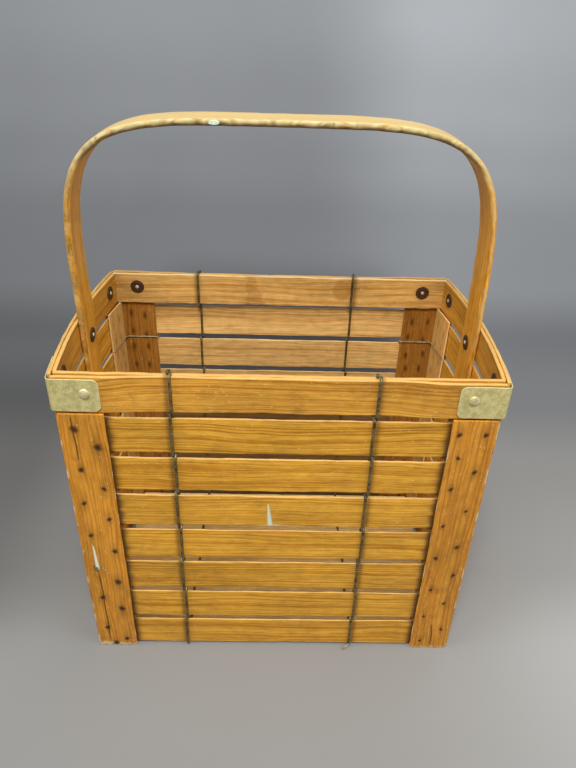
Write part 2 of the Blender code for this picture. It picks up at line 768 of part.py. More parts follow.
def corner_ties():
    """A wire round the inner boards of each back corner, in the gap below the top slat."""
    height = slat_low(SLAT_COUNT) - (SLAT_PITCH - SLAT_HEIGHT) / 2
    pass_by = TIE_SEAT + TIE_RADIUS * 0.5
    turn = TIE_DIAMETER
    ease = TIE_RADIUS * 0.2
    free_x = BOARD_OUTER_X - BOARD_WIDTH - pass_by
    free_y = END_BOARD_INNER_Y - pass_by
    face_y = BOARD_INNER_Y - TIE_SEAT
    face_x = BOARD_INNER_X - TIE_SEAT
    route = [(free_x, HALF_Y), (free_x, face_y + turn), (free_x + ease, face_y),
             (free_x + turn, face_y - ease), (face_x - turn, face_y),
             (face_x - turn * 0.3, face_y - turn * 0.3)]
    route += [(face_x + bulge(along, height) - ease, along)
              for along in steps_between(face_y - turn, free_y + turn, 3)]
    edge_x = face_x + bulge(free_y, height)
    route += [(edge_x, free_y + ease), (edge_x + turn, free_y),
              (HALF_X + bulge(free_y, height), free_y)]
    for end_side in ("left", "right"):
        wire(f"corner_tie_{end_side}", [(SIDES[end_side] * x, y, height) for x, y in route],
             TIE_RADIUS)


wall_slats()
corner_posts()
inner_corner_boards()
rim_bands()
handle()
corner_brackets()
leg_rivets()
bottom()
binding_wires()
corner_ties()
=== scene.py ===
import math

import bpy
import numpy as np
from mathutils import Matrix, Vector


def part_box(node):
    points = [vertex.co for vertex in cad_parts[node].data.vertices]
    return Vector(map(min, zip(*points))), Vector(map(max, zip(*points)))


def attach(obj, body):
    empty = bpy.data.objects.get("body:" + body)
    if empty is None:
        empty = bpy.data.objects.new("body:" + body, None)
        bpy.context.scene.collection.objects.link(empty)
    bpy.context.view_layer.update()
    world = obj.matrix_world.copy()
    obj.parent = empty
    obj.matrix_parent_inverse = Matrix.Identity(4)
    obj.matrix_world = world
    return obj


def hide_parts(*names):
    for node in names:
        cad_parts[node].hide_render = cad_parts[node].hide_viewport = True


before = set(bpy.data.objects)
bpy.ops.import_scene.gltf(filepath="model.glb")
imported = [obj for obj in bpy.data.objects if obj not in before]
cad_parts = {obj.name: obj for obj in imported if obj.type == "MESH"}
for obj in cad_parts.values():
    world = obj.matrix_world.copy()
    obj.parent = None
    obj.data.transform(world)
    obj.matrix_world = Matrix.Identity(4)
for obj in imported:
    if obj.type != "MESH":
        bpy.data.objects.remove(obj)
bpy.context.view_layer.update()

# Floor and backdrop: a pale paper sweep that the basket stands on. It isn't part of the
# object. The sheet lies flat under the basket and curves up behind it.
SWEEP_HALF_WIDTH = 4.0
SWEEP_FRONT = -3.0
SWEEP_BACK = 0.7
SWEEP_RADIUS = 0.9
SWEEP_HEIGHT = 3.5
# Tone of the paper at distances back and up, with painted shade just behind the basket and painted
# light far back, and the strength of the painted shadows beside and behind the basket
SWEEP_PAINTED_TONES = [(-0.30, 0.257), (-0.12, 0.283), (0.00, 0.230), (0.21, 0.205), (0.40, 0.152),
               (0.64, 0.145), (0.94, 0.24), (1.25, 0.245), (1.54, 0.30), (1.82, 0.35), (2.20, 0.43)]
SHADE_LEFT = -0.36
SHADE_BEHIND = -0.68


def new_tree(name):
    """A material with one Principled shader, its node tree, and that shader."""
    made = bpy.data.materials.new(name)
    made.use_nodes = True
    tree = made.node_tree
    tree.nodes.clear()
    shader = tree.nodes.new("ShaderNodeBsdfPrincipled")
    output = tree.nodes.new("ShaderNodeOutputMaterial")
    tree.links.new(shader.outputs["BSDF"], output.inputs["Surface"])
    return made, tree, shader


def node(tree, kind, inputs=None, **settings):
    """Add a shader node, set its properties, and link or set its inputs by name or place."""
    made = tree.nodes.new("ShaderNode" + kind)
    for key, value in settings.items():
        setattr(made, key, value)
    for key, value in (inputs or {}).items():
        if isinstance(value, bpy.types.NodeSocket):
            tree.links.new(value, made.inputs[key])
        else:
            made.inputs[key].default_value = value
    return made


def math_node(tree, operation, *values, clamp=False):
    """A maths step on sockets or numbers."""
    made = node(tree, "Math", dict(enumerate(values)), operation=operation, use_clamp=clamp)
    return made.outputs[0]


def mix_colour(tree, share, first, second, blend="MIX"):
    """A mix of two colours by a share from 0 to 1."""
    made = node(tree, "Mix", {"Factor": share, 6: first, 7: second},
                data_type="RGBA", blend_type=blend)
    return made.outputs[2]


def ramp(tree, value, low, high, to_low=0.0, to_high=1.0):
    """Map a value from low..high to to_low..to_high, eased at both ends."""
    made = node(tree, "MapRange", {"Value": value, "From Min": low, "From Max": high,
                                   "To Min": to_low, "To Max": to_high},
                interpolation_type="SMOOTHSTEP")
    return made.outputs[0]


def between(tree, value, low, low_full, high_full, high):
    """A mask that is 1 from low_full to high_full and eases to 0 at low and at high."""
    return math_node(tree, "MULTIPLY", ramp(tree, value, low, low_full),
                     ramp(tree, value, high_full, high, 1.0, 0.0))


def shaded(tree, light, across, along, strength):
    """Light + light * strength * the product of two masks."""
    patch = math_node(tree, "MULTIPLY", math_node(tree, "MULTIPLY", across, along), strength)
    return math_node(tree, "MULTIPLY_ADD", light, patch, light)


def new_object(name, points, faces, finish, sharp=None):
    """A smooth mesh object from an array of points and a list of faces.

    Edges that turn by more than the angle sharp, in degrees, stay crisp.
    """
    mesh = bpy.data.meshes.new(name)
    mesh.from_pydata(points.reshape(-1, 3).tolist(), [], faces)
    mesh.shade_smooth()
    if sharp is not None:
        mesh.set_sharp_from_angle(angle=math.radians(sharp))
    mesh.materials.append(finish)
    made = bpy.data.objects.new(name, mesh)
    bpy.context.scene.collection.objects.link(made)
    return made


def grid_mesh(name, points, finish):
    """A sheet from a rows x columns x 3 array of points, one quad between four neighbours."""
    rows, columns = points.shape[:2]
    index = np.arange(rows * columns).reshape(rows, columns)
    quads = np.stack([index[:-1, :-1], index[:-1, 1:], index[1:, 1:], index[1:, :-1]], -1)
    return new_object(name, points, quads.reshape(-1, 4).tolist(), finish)


paper, tree, shader = new_tree("pale_paper")
place = node(tree, "TexCoord").outputs["Object"]
cloud = node(tree, "TexNoise", {"Vector": place, "Scale": 1.6, "Detail": 3.0}).outputs[0]
shader.inputs["Roughness"].default_value = 0.85
part_of = node(tree, "SeparateXYZ", {0: place}).outputs
back_and_up = math_node(tree, "ADD", part_of["Y"], part_of["Z"])
FRONT_END = SWEEP_PAINTED_TONES[0][0]
BACK_END = SWEEP_PAINTED_TONES[-1][0]
share = node(tree, "MapRange", {"Value": back_and_up, "From Min": FRONT_END, "From Max": BACK_END})
fade = node(tree, "ValToRGB", {0: share.outputs[0]})
fade.color_ramp.interpolation = "EASE"
# Painted light and shade along the paper: darker just behind the basket, lighter far back
for where, tone in SWEEP_PAINTED_TONES:
    stop = (where - FRONT_END) / (BACK_END - FRONT_END)
    if where in (FRONT_END, BACK_END):
        mark = fade.color_ramp.elements[0 if where == FRONT_END else -1]
        mark.position = stop
    else:
        mark = fade.color_ramp.elements.new(stop)
    cool = min(max((where - 0.2) / 0.3, 0), 1)
    mark.color = (tone * (1 - 0.05 * cool), tone, tone * (0.985 + 0.09 * cool), 1)
# Painted light and shade across the paper: lighter towards the right, a painted shadow left of the
# basket, and another straight behind it
painted_light_and_shade = ramp(tree, part_of["X"], 0.05, 0.45, 0.90, 1.33)
painted_shadow_left = ramp(tree, part_of["X"], -0.40, -0.24, 1.0, 0.0)
painted_light_and_shade = shaded(tree, painted_light_and_shade, painted_shadow_left, between(tree, part_of["Y"], -0.17, -0.07, 0.38, 0.60),
                  SHADE_LEFT)
painted_shadow_behind = ramp(tree, math_node(tree, "ABSOLUTE", part_of["X"]), 0.20, 0.36, 1.0, 0.0)
painted_light_and_shade = shaded(tree, painted_light_and_shade, painted_shadow_behind,
                  between(tree, part_of["Y"], 0.14, 0.30, 0.75, 1.05), SHADE_BEHIND)
mottled_painted_light = math_node(tree, "MULTIPLY", painted_light_and_shade, ramp(tree, cloud, 0.2, 0.8, 0.94, 1.05))
grey = node(tree, "CombineColor", {0: mottled_painted_light, 1: mottled_painted_light, 2: mottled_painted_light}).outputs[0]
tree.links.new(mix_colour(tree, 1.0, fade.outputs[0], grey, "MULTIPLY"),
               shader.inputs["Base Color"])
turn = np.linspace(0, math.pi / 2, 24)
line = np.concatenate([
    [[SWEEP_FRONT, 0], [SWEEP_BACK, 0]],
    np.stack([SWEEP_BACK + SWEEP_RADIUS * np.sin(turn), SWEEP_RADIUS * (1 - np.cos(turn))], 1)[1:],
    [[SWEEP_BACK + SWEEP_RADIUS, SWEEP_HEIGHT]]])
sweep = np.stack([np.stack([np.full(len(line), x), line[:, 0], line[:, 1]], 1)
                  for x in (SWEEP_HALF_WIDTH, -SWEEP_HALF_WIDTH)])
grid_mesh("paper_sweep", sweep, paper)


# Bottom: lengthwise slats nailed down on two cross cleats between the feet of the corner
# boards. Bare ash that was never varnished, pale and dusty. It is made of strips, as every
# wooden piece is: a rounded section carried along a path, which holds its own grain directions.
CORNER = 0.0007
COLUMNS = 13
STATION_GAP = 0.0025
PLANED_OFF = 0.00012
THICK_WANDER = 0.0001
CHIP_DEPTH = 0.0009
CHIP_LENGTH = 0.004
CUP = 0.00018
TWIST = 0.00010
GROOVE_DEPTH = 0.0011
CRISP_ANGLE = 62
RAGGED_REACH = 0.0016
EDGE_REACH = 0.0006
TOP_END_REACH = 0.0012
# Colour of dirt and painted shade: painted shadow by the posts and wires, painted shade inside the
# lower back slats and under the grip, and real rust and nail stains
DIRT_AND_SHADE_COLOUR = (0.052, 0.020, 0.004, 1)
GRIME_COLOUR = (0.42, 0.33, 0.26, 1)
NICK_COLOUR = (0.80, 0.58, 0.27, 1)
BOTTOM_SLATS = 5
BOTTOM_GAP = 0.006
BOTTOM_THICK = 0.005
BOTTOM_MARGIN = 0.0012
CLEAT_WIDTH = 0.021
CLEAT_INSET = 0.0020


def colour(red, green, blue):
    """A linear colour from an sRGB one of 0 to 255."""
    share = np.array([red, green, blue]) / 255
    linear = np.where(share <= 0.04045, share / 12.92, ((share + 0.055) / 1.055) ** 2.4)
    return (*linear.tolist(), 1.0)


def wander(seed, at, length, octaves=3):
    """Smooth value between about -1 and 1 for each distance in an array.

    The sum, over octaves, of two sines of random wavelength near length / 2^octave and
    random phase, each octave half as high as the one before.
    """
    rng = np.random.default_rng(seed)
    total = np.zeros_like(at, dtype=float)
    for octave in range(octaves):
        for stretch in rng.uniform(0.7, 1.4, 2):
            turns = at * 2 ** octave * stretch / length
            total += np.sin(2 * math.pi * (turns + rng.uniform())) / 2 ** octave
    return total / 2.6


def bumps(seed, at, count, low, high, size):
    """Value from 0 to 1 along a line: count smooth bumps of about the given length."""
    rng = np.random.default_rng(seed)
    total = np.zeros_like(at, dtype=float)
    for _ in range(count):
        middle = rng.uniform(low, high)
        reach = size * rng.uniform(0.5, 1.6)
        total = np.maximum(total, rng.uniform(0.4, 1) * np.exp(-((at - middle) / reach) ** 2))
    return total


def distances(points):
    """Distance of each point of a polyline from its start, along it."""
    return np.concatenate([[0], np.cumsum(np.linalg.norm(np.diff(points, axis=0), axis=1))])


def point_at(points, at):
    """Points at given distances along a polyline."""
    lengths = distances(points)
    return np.stack([np.interp(at, lengths, points[:, axis]) for axis in range(3)], 1)


def unit(vectors):
    """Vectors scaled to a length of 1."""
    return vectors / np.linalg.norm(vectors, axis=1)[:, None]


def ring_quads(index):
    """Quads between neighbouring rings, from point numbers whose last axis goes round."""
    follow = np.roll(index, -1, axis=-1)
    quads = np.stack([index[..., :-1, :], follow[..., :-1, :], follow[..., 1:, :],
                      index[..., 1:, :]], -1)
    return quads.reshape(-1, 4).tolist()


def even_path(points, gap=STATION_GAP):
    """Points at even steps of length along a polyline, and their distances from its start.

    Five close stations at each end carry the rounding of the cut.
    """
    points = np.asarray(points, float)
    total = distances(points)[-1]
    ends = np.array([0, 0.0002, 0.0005, 0.0009, 0.0018])
    inner = np.linspace(0.003, total - 0.003, max(int(total / gap), 6))
    at = np.concatenate([ends, inner, total - ends[::-1]])
    return point_at(points, at), at


def section_shares(columns):
    """The strip's section, once round: shares across and through, and corner cosine and sine."""
    face = np.concatenate([[-1, -0.965], np.linspace(-0.90, 0.90, columns - 4), [0.965, 1]])
    turn = np.radians([60, 30, 0])
    right = np.ones(3)
    across = np.concatenate([face, right, right, face[::-1], -right, -right])
    through = np.concatenate([np.ones(columns), right, -right,
                              -np.ones(columns), -right, right])
    side = np.concatenate([turn, turn[::-1]])
    cosine = np.concatenate([np.zeros(columns), np.cos(side), np.zeros(columns), np.cos(side)])
    sine = np.concatenate([np.ones(columns), np.sin(side), np.ones(columns), np.sin(side)])
    return across, through, cosine, sine


def edge_rounding(at, across, through, corner, wear, seed):
    """Rounding of the four edges at every point: it wanders, and grows where they are chipped."""
    round_by = np.empty((len(at), len(across)))
    for number, (sign_a, sign_h) in enumerate([(1, 1), (1, -1), (-1, 1), (-1, -1)]):
        chips = bumps(seed + 10 + number, at, int(3 + 6 * wear), 0, at[-1], CHIP_LENGTH)
        rounding = corner * (1 + 0.35 * wander(seed + 20 + number, at, 0.03))
        rounding = rounding + CHIP_DEPTH * wear * chips
        here = (np.where(across >= 0, 1, -1) == sign_a) & (through == sign_h)
        round_by[:, here] = rounding[:, None]
    return round_by


def strip_faces(rows, size, columns):
    """Quads along a strip, then on each end quads from face to face and two rounded sides."""
    faces = ring_quads(np.arange(rows * size).reshape(rows, size))
    caps = [[i, i + 1, 2 * columns + 4 - i, 2 * columns + 5 - i] for i in range(columns - 1)]
    caps.append(list(range(columns - 1, columns + 7)))
    caps.append(list(range(2 * columns + 5, size)) + [0])
    last = (rows - 1) * size
    faces += [cap[::-1] for cap in caps]
    return faces + [[last + i for i in cap] for cap in caps]


def strip(name, path, across_way, width, thick, finish, seed, tone=0.0, out_way=None,
          corner=CORNER, wear=1.0, wavy=0.00035, ragged=(0.0002, 0.0002), dirt_and_shade=None,
          mark=None, groove=None, width_of=None, lift=None, columns=COLUMNS, gap=STATION_GAP,
          foot=0.0016, cut=0.0006, rub=None, inner_finish=None):
    """A wooden strip along a path.

    Point = path + across_way * (a * (W - r) + b * r) + out * (h * (H - r) + s * r), where a
    and h are the section's shares, b and s its corner cosine and sine, W and H half its
    width and thickness with a little wandering, and r the corner's rounding, which grows
    where an edge is chipped. dirt_and_shade, mark and groove give a value for each point
    from its distance along, distance across and face: dirt with painted shade, paint or
    stain, and depth of a crack.
    inner_finish is for a strip whose inner face was never varnished.
    """
    centre, at = even_path(path, gap)
    total = at[-1]
    across_way = np.asarray(across_way, float)
    tangent = unit(np.gradient(centre, at, axis=0))
    out = unit(np.cross(across_way, tangent))
    if out_way is not None and (out[len(out) // 2] @ np.asarray(out_way, float)) < 0:
        out = -out
    across, through, cosine, sine = section_shares(columns)
    rows = len(at)
    size = len(across)
    from_end = np.minimum(at, total - at)
    inset = np.where(from_end < cut,
                     cut - np.sqrt(np.maximum(cut ** 2 - (cut - from_end) ** 2, 0)), 0)
    half_width = np.full(rows, width / 2) if width_of is None else width_of(at) / 2
    half_plus = half_width + wavy * wander(seed, at, 0.12) - inset - wavy
    half_minus = half_width + wavy * wander(seed + 1, at, 0.12) - inset - wavy
    half_thick = thick / 2 - PLANED_OFF + THICK_WANDER * wander(seed + 2, at, 0.09) - inset
    round_by = edge_rounding(at, across, through, corner, wear, seed)
    round_through = np.minimum(round_by, half_thick[:, None] * 0.92)
    half_across = np.where(across >= 0, half_plus[:, None], half_minus[:, None])
    x = across * (half_across - round_by) + np.sign(across) * cosine * round_by
    y = through * (half_thick[:, None] - round_through + sine * round_through)
    cup = CUP * wander(seed + 30, at, 0.16)[:, None] * (1 - (x / half_across) ** 2)
    y = y + cup + TWIST * wander(seed + 31, at, 0.2)[:, None] * x / half_across
    along = at[:, None] + 0 * x
    face = through + 0 * x
    depth = np.zeros_like(x)
    if groove is not None:
        depth = groove(along, x) * (face == 1)
        y = y - depth * GROOVE_DEPTH
    end_fade = np.exp(-from_end / RAGGED_REACH)[:, None]
    pull = np.where(at < total / 2, ragged[0], ragged[1])[:, None]
    teeth = np.clip(0.5 + 0.6 * wander(seed + 40, x, 0.009, 4), 0, 1)
    way = np.where(at < total / 2, 1, -1)[:, None]
    slide = pull * teeth * end_fade * way
    points = (centre[:, None] + across_way * x[..., None] + out[:, None] * y[..., None]
              + tangent[:, None] * slide[..., None])
    if lift is not None:
        points = lift(points, at, x)
    faces = strip_faces(rows, size, columns)
    hand = np.dot(np.cross(tangent[rows // 2], across_way), out[rows // 2])
    if hand < 0:
        faces = [corners[::-1] for corners in faces]
    made = new_object(name, points, faces, finish, CRISP_ANGLE)
    mesh = made.data
    grain = np.stack([along + seed * 0.371, x + seed * 0.137, y + seed * 0.0713], -1)
    near_edge = np.exp(-(half_across - np.abs(x)) / EDGE_REACH)
    near_end = np.exp(-np.where(at < total / 2, at / foot, (total - at) / TOP_END_REACH))[:, None]
    rubbed = np.maximum(near_edge, near_end * (0.6 + 0.5 * teeth)) * wear
    if rub is not None:
        rubbed = rubbed * rub(at)[:, None]
    darkening = depth if dirt_and_shade is None else np.maximum(dirt_and_shade(along, x, face), depth)
    tint = np.zeros_like(x) if mark is None else mark(along, x, face)
    store(mesh, "grain", grain.reshape(-1, 3))
    store(mesh, "rubbed", rubbed.ravel())
    store(mesh, "dirt_and_shade", np.clip(darkening, 0, 1).ravel())
    store(mesh, "mark", np.clip(tint, 0, 1).ravel())
    store(mesh, "tone", np.full(x.size, tone))
    if inner_finish is not None:
        mesh.materials.append(inner_finish)
        inside = (through < 0) & (np.roll(through, -1) < 0)
        kind = np.zeros(len(faces), int)
        kind[:(rows - 1) * size] = np.tile(inside, rows - 1)
        mesh.polygons.foreach_set("material_index", kind)
    return made


def store(mesh, name, values):
    """Keep one value or vector for each vertex as a named attribute."""
    kind = "FLOAT_VECTOR" if values.ndim == 2 else "FLOAT"
    field = "vector" if values.ndim == 2 else "value"
    layer = mesh.attributes.new(name, kind, "POINT")
    layer.data.foreach_set(field, np.ascontiguousarray(values, np.float32).ravel())


def swayed(tree, noise, amount, value):
    """Value + amount * (noise - 0.5)."""
    return math_node(tree, "MULTIPLY_ADD", math_node(tree, "SUBTRACT", noise, 0.5), amount, value)


def new_group(name, sockets):
    """A shader node group with named sockets, the values it is given, and its results."""
    group = bpy.data.node_groups.new(name, "ShaderNodeTree")
    for label, way, kind in sockets:
        group.interface.new_socket(label, in_out=way, socket_type="NodeSocket" + kind)
    return (group, group.nodes.new("NodeGroupInput").outputs,
            group.nodes.new("NodeGroupOutput").inputs)


def figure_group():
    """Ash figure in strip directions: growth lines, fibres and pores along the length."""
    group, given, result = new_group("ash_figure", (
        ("Grain", "INPUT", "Vector"), ("Light", "INPUT", "Color"), ("Dark", "INPUT", "Color"),
        ("Tone", "INPUT", "Float"), ("Color", "OUTPUT", "Color"), ("Height", "OUTPUT", "Float"),
        ("Gloss", "OUTPUT", "Float")))

    def stretched(scale, detail, vector):
        moved = node(group, "Mapping", {"Vector": vector, "Scale": scale}).outputs[0]
        return node(group, "TexNoise", {"Vector": moved, "Scale": 1.0, "Detail": detail,
                                        "Roughness": 0.55}).outputs[0]

    drift = stretched((7, 18, 60), 2.0, given["Grain"])
    split = node(group, "SeparateXYZ", {0: given["Grain"]}).outputs
    bent = math_node(group, "MULTIPLY_ADD", drift, 0.015, split["Y"])
    along = node(group, "CombineXYZ", {"X": split["X"], "Y": bent, "Z": split["Z"]}).outputs[0]
    rings = stretched((1.6, 560, 300), 2.0, along)
    fine = stretched((5, 1250, 700), 2.0, along)
    fibre = stretched((26, 900, 800), 2.5, along)
    pores = stretched((55, 1900, 900), 1.0, along)
    cloud = stretched((8, 24, 30), 3.0, given["Grain"])
    blotch = stretched((75, 190, 190), 3.0, given["Grain"])
    nicks = ramp(group, stretched((230, 520, 520), 1.0, given["Grain"]), 0.70, 0.76)
    lines = ramp(group, rings, 0.34, 0.56)
    fine_lines = ramp(group, fine, 0.36, 0.56, 0.55, 1.0)
    flecks = ramp(group, pores, 0.62, 0.72)
    share = math_node(group, "MULTIPLY", lines, fine_lines)
    base = mix_colour(group, share, given["Dark"], given["Light"])
    shade = ramp(group, cloud, 0.3, 0.75, 0.83, 1.08)
    shade = swayed(group, fibre, 0.75, shade)
    shade = swayed(group, blotch, 0.55, shade)
    shade = math_node(group, "SUBTRACT", shade, math_node(group, "MULTIPLY", flecks, 0.22))
    shade = math_node(group, "ADD", shade, given["Tone"])
    grey = node(group, "CombineColor", {0: shade, 1: shade, 2: shade}).outputs[0]
    shaded = mix_colour(group, 1.0, base, grey, "MULTIPLY")
    nicked = math_node(group, "MULTIPLY", nicks, 0.6)
    group.links.new(mix_colour(group, nicked, shaded, NICK_COLOUR), result["Color"])
    raised = math_node(group, "MULTIPLY_ADD", share, 0.4, math_node(group, "MULTIPLY", fibre, 0.5))
    group.links.new(math_node(group, "SUBTRACT", raised, math_node(group, "MULTIPLY", flecks, 0.6)),
                    result["Height"])
    group.links.new(math_node(group, "MULTIPLY_ADD", cloud, 0.25,
                              math_node(group, "MULTIPLY", flecks, 0.2)), result["Gloss"])
    return group


def worn_group():
    """Breaks up a smooth closeness-to-edge value into rubbed patches and thin grime."""
    group, given, result = new_group("rubbed_edge", (
        ("Position", "INPUT", "Vector"), ("Edge", "INPUT", "Float"), ("Amount", "INPUT", "Float"),
        ("Bare", "OUTPUT", "Float"), ("Grime", "OUTPUT", "Float")))
    coarse = node(group, "TexNoise", {"Vector": given["Position"], "Scale": 45.0,
                                      "Detail": 4.0, "Roughness": 0.65}).outputs[0]
    fine = node(group, "TexNoise", {"Vector": given["Position"], "Scale": 420.0,
                                    "Detail": 2.0}).outputs[0]
    patchy = swayed(group, coarse, 1.3, given["Edge"])
    patchy = swayed(group, fine, 0.5, patchy)
    level = math_node(group, "SUBTRACT", 1.25, given["Amount"])
    above = math_node(group, "SUBTRACT", patchy, level)
    group.links.new(ramp(group, above, -0.18, 0.22), result["Bare"])
    group.links.new(ramp(group, coarse, 0.56, 0.78), result["Grime"])
    return group


FIGURE = figure_group()
WORN = worn_group()


def wood(name, light, dark, bare, roughness, coat, worn=0.55, grime=0.35,
         mark_colour=(0.05, 0.018, 0.006, 1)):
    """Varnished ash: figure, rubbed edges, dirt and painted shade in the corners, and marks on top.
    """
    made, tree, shader = new_tree(name)

    def stored(attribute, output):
        return node(tree, "Attribute", attribute_name=attribute).outputs[output]

    grain = stored("grain", "Vector")
    figure = node(tree, "Group", node_tree=FIGURE)
    tree.links.new(grain, figure.inputs["Grain"])
    figure.inputs["Light"].default_value = light
    figure.inputs["Dark"].default_value = dark
    tree.links.new(stored("tone", "Fac"), figure.inputs["Tone"])
    rubbed = node(tree, "Group", node_tree=WORN)
    tree.links.new(node(tree, "TexCoord").outputs["Object"], rubbed.inputs["Position"])
    tree.links.new(stored("rubbed", "Fac"), rubbed.inputs["Edge"])
    rubbed.inputs["Amount"].default_value = worn
    tint = figure.outputs["Color"]
    dusky = math_node(tree, "MULTIPLY", rubbed.outputs["Grime"], grime)
    tint = mix_colour(tree, dusky, tint, mix_colour(tree, 1.0, tint, GRIME_COLOUR, "MULTIPLY"))
    pale = mix_colour(tree, 0.45, bare, tint)
    tint = mix_colour(tree, rubbed.outputs["Bare"], tint, pale)
    # Dirt, stains and painted shade from the stored values
    tint = mix_colour(tree, stored("dirt_and_shade", "Fac"), tint, DIRT_AND_SHADE_COLOUR)
    tint = mix_colour(tree, stored("mark", "Fac"), tint, mark_colour)
    tree.links.new(tint, shader.inputs["Base Color"])
    rough = math_node(tree, "MULTIPLY_ADD", figure.outputs["Gloss"], 0.5, roughness - 0.1)
    rough = math_node(tree, "MULTIPLY_ADD", rubbed.outputs["Bare"], 0.18, rough, clamp=True)
    tree.links.new(rough, shader.inputs["Roughness"])
    bump = node(tree, "Bump", {"Height": figure.outputs["Height"], "Strength": 0.35,
                               "Distance": 0.00025})
    tree.links.new(bump.outputs[0], shader.inputs["Normal"])
    shader.inputs["Coat Weight"].default_value = coat
    shader.inputs["Coat Roughness"].default_value = 0.28
    shader.inputs["Specular IOR Level"].default_value = 0.24
    return made


def settle(piece, slot, *nodes):
    """Every piece of the basket rides on its one body."""
    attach(piece, "root")
    if nodes:
        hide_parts(*nodes)


bottom_wood = wood("bottom_wood", colour(242, 210, 144), colour(218, 178, 108),
                   colour(238, 222, 186), 0.6, 0.05, worn=0.4, grime=0.3)


def join_pieces(name, parts):
    """One mesh from several, with their attributes kept."""
    bpy.ops.object.select_all(action="DESELECT")
    for part in parts:
        part.select_set(True)
    bpy.context.view_layer.objects.active = parts[0]
    bpy.ops.object.join()
    parts[0].name = name
    parts[0].data.name = name
    return parts[0]


low, high = (np.array(corner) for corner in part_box("bottom_frame"))
deep = high[1] - low[1]
floor_low = high[2] - BOTTOM_THICK
reach = deep / 2 - BOTTOM_MARGIN
slat_width = (2 * reach - (BOTTOM_SLATS - 1) * BOTTOM_GAP) / BOTTOM_SLATS
bottom_parts = []
for number in range(BOTTOM_SLATS):
    y = -reach + slat_width / 2 + number * (slat_width + BOTTOM_GAP)
    z = floor_low + BOTTOM_THICK / 2
    bottom_parts.append(strip(f"bottom_slat_{number + 1}", [(low[0], y, z), (high[0], y, z)],
                              (0, 1, 0), slat_width, BOTTOM_THICK, bottom_wood, 400 + number * 7,
                              tone=0.04 * wander(9, np.array([number * 1.0]), 3.0)[0],
                              out_way=(0, 0, 1), wear=0.6))
for side in (-1, 1):
    x = side * (high[0] - CLEAT_INSET - CLEAT_WIDTH / 2)
    z = (low[2] + floor_low) / 2
    bottom_parts.append(strip(f"cleat_{side}", [(x, low[1], z), (x, high[1], z)], (1, 0, 0),
                              CLEAT_WIDTH, floor_low - low[2], bottom_wood, 450 + side,
                              out_way=(0, 0, 1), wear=0.6))
settle(join_pieces("bottom_boards", bottom_parts), "bottom_wood", "bottom_frame")


# Inner corner boards: upright boards inside each corner that the slats are nailed to. The
# tall one stands between the two rim bands, the short one stops under the end band.
inner_wood = wood("inner_wood", colour(168, 114, 44), colour(142, 90, 30),
                  colour(214, 180, 120), 0.52, 0.08, worn=0.45, grime=0.6)
pale_inner_wood = wood("pale_inner_wood", colour(232, 188, 114), colour(206, 154, 80),
                       colour(240, 216, 166), 0.5, 0.08, worn=0.55, grime=0.3)
BOARD_WIDTH = 0.0415
BOARD_THICK = 0.0024
FIT = 0.0003
NAILED_HEIGHT = 0.31
NAIL_SPACING = 0.022
SIGN = {"front": -1, "back": 1, "left": -1, "right": 1}
RIM_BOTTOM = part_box("rim_inner_front")[0].z
RIM_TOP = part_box("rim_inner_front")[1].z
LEG_FACE = 0.20207
LEG_LEAN = 0.005
LEG_SIDE = 0.021
SLAT_THICK = 0.0026
END_SLAT_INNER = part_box("front_slat_1")[1].x - SLAT_THICK
BOARD_INNER = abs(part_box("front_slat_1")[1].y) - FIT - BOARD_THICK


def end_bulge(points, *_):
    """Move points of an end wall out with its bulge.

    The wall stands clear of the handle's leg at its middle, and the rise dies away as a
    parabola, 1 - share squared, at the corner boards. The leg leans in below the rim.
    """
    share = np.maximum(np.abs(points[..., 1]) - LEG_SIDE, 0) / (BOARD_INNER - LEG_SIDE)
    lean = LEG_LEAN * np.maximum(RIM_BOTTOM - points[..., 2], 0) / RIM_BOTTOM
    rise = LEG_FACE - lean + FIT - END_SLAT_INNER
    moved = points.copy()
    moved[..., 0] += np.sign(points[..., 0]) * rise * np.maximum(1 - share ** 2, 0)
    return moved


def rust_runs(seed, columns, depth):
    """Dark rust run along the grain round nails at even heights, as a dirt_and_shade function."""
    rng = np.random.default_rng(seed)
    spots = [(z + rng.uniform(-4, 4) / 1000, column + rng.uniform(-2, 2) / 1000)
             for z in np.arange(NAIL_SPACING / 2, NAILED_HEIGHT, NAIL_SPACING) for column in columns]

    def dirt_and_shade(along, across, _):
        total = np.zeros_like(along)
        for z, x in spots:
            run = np.exp(-(((across - x) / 0.0021) ** 2 + ((along - z) / 0.0052) ** 2) ** 1.5)
            total = np.maximum(total, depth * run)
        return total
    return dirt_and_shade


for number, (long_side, end_side) in enumerate((a, b) for a in ("front", "back")
                                               for b in ("left", "right")):
    name = f"inner_corner_{long_side}_{end_side}"
    low, high = (np.array(corner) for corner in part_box(name))
    end = SIGN[end_side]
    deep = SIGN[long_side]
    outer_x = end * (END_SLAT_INNER - FIT)
    outer_y = deep * max(abs(low[1]), abs(high[1]))
    inner_y = deep * min(abs(low[1]), abs(high[1]))
    x = outer_x - end * BOARD_WIDTH / 2
    y = outer_y - deep * BOARD_THICK / 2
    seed = 500 + number * 11
    tall = strip(name + "_tall", [(x, y, low[2]), (x, y, high[2])], (1, 0, 0), BOARD_WIDTH,
                 BOARD_THICK, inner_wood, seed, out_way=(0, -deep, 0), wear=0.8, columns=29,
                 dirt_and_shade=rust_runs(seed, (-0.010, 0.009), 0.9))
    short_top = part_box(f"{end_side}_post_{long_side}")[1].z
    short_outer = outer_y - deep * (BOARD_THICK + FIT)
    y = (short_outer + inner_y) / 2
    x = outer_x - end * BOARD_THICK / 2
    short = strip(name + "_short", [(x, y, low[2] + 0.001), (x, y, short_top)], (0, 1, 0),
                  abs(short_outer - inner_y), BOARD_THICK, pale_inner_wood, seed + 5,
                  out_way=(-end, 0, 0), wear=0.8, lift=end_bulge, columns=29,
                  dirt_and_shade=rust_runs(seed + 3, (-0.011, 0.008), 0.45))
    settle(join_pieces(f"inner_boards_{long_side}_{end_side}", [tall, short]), "inner_slat", name)
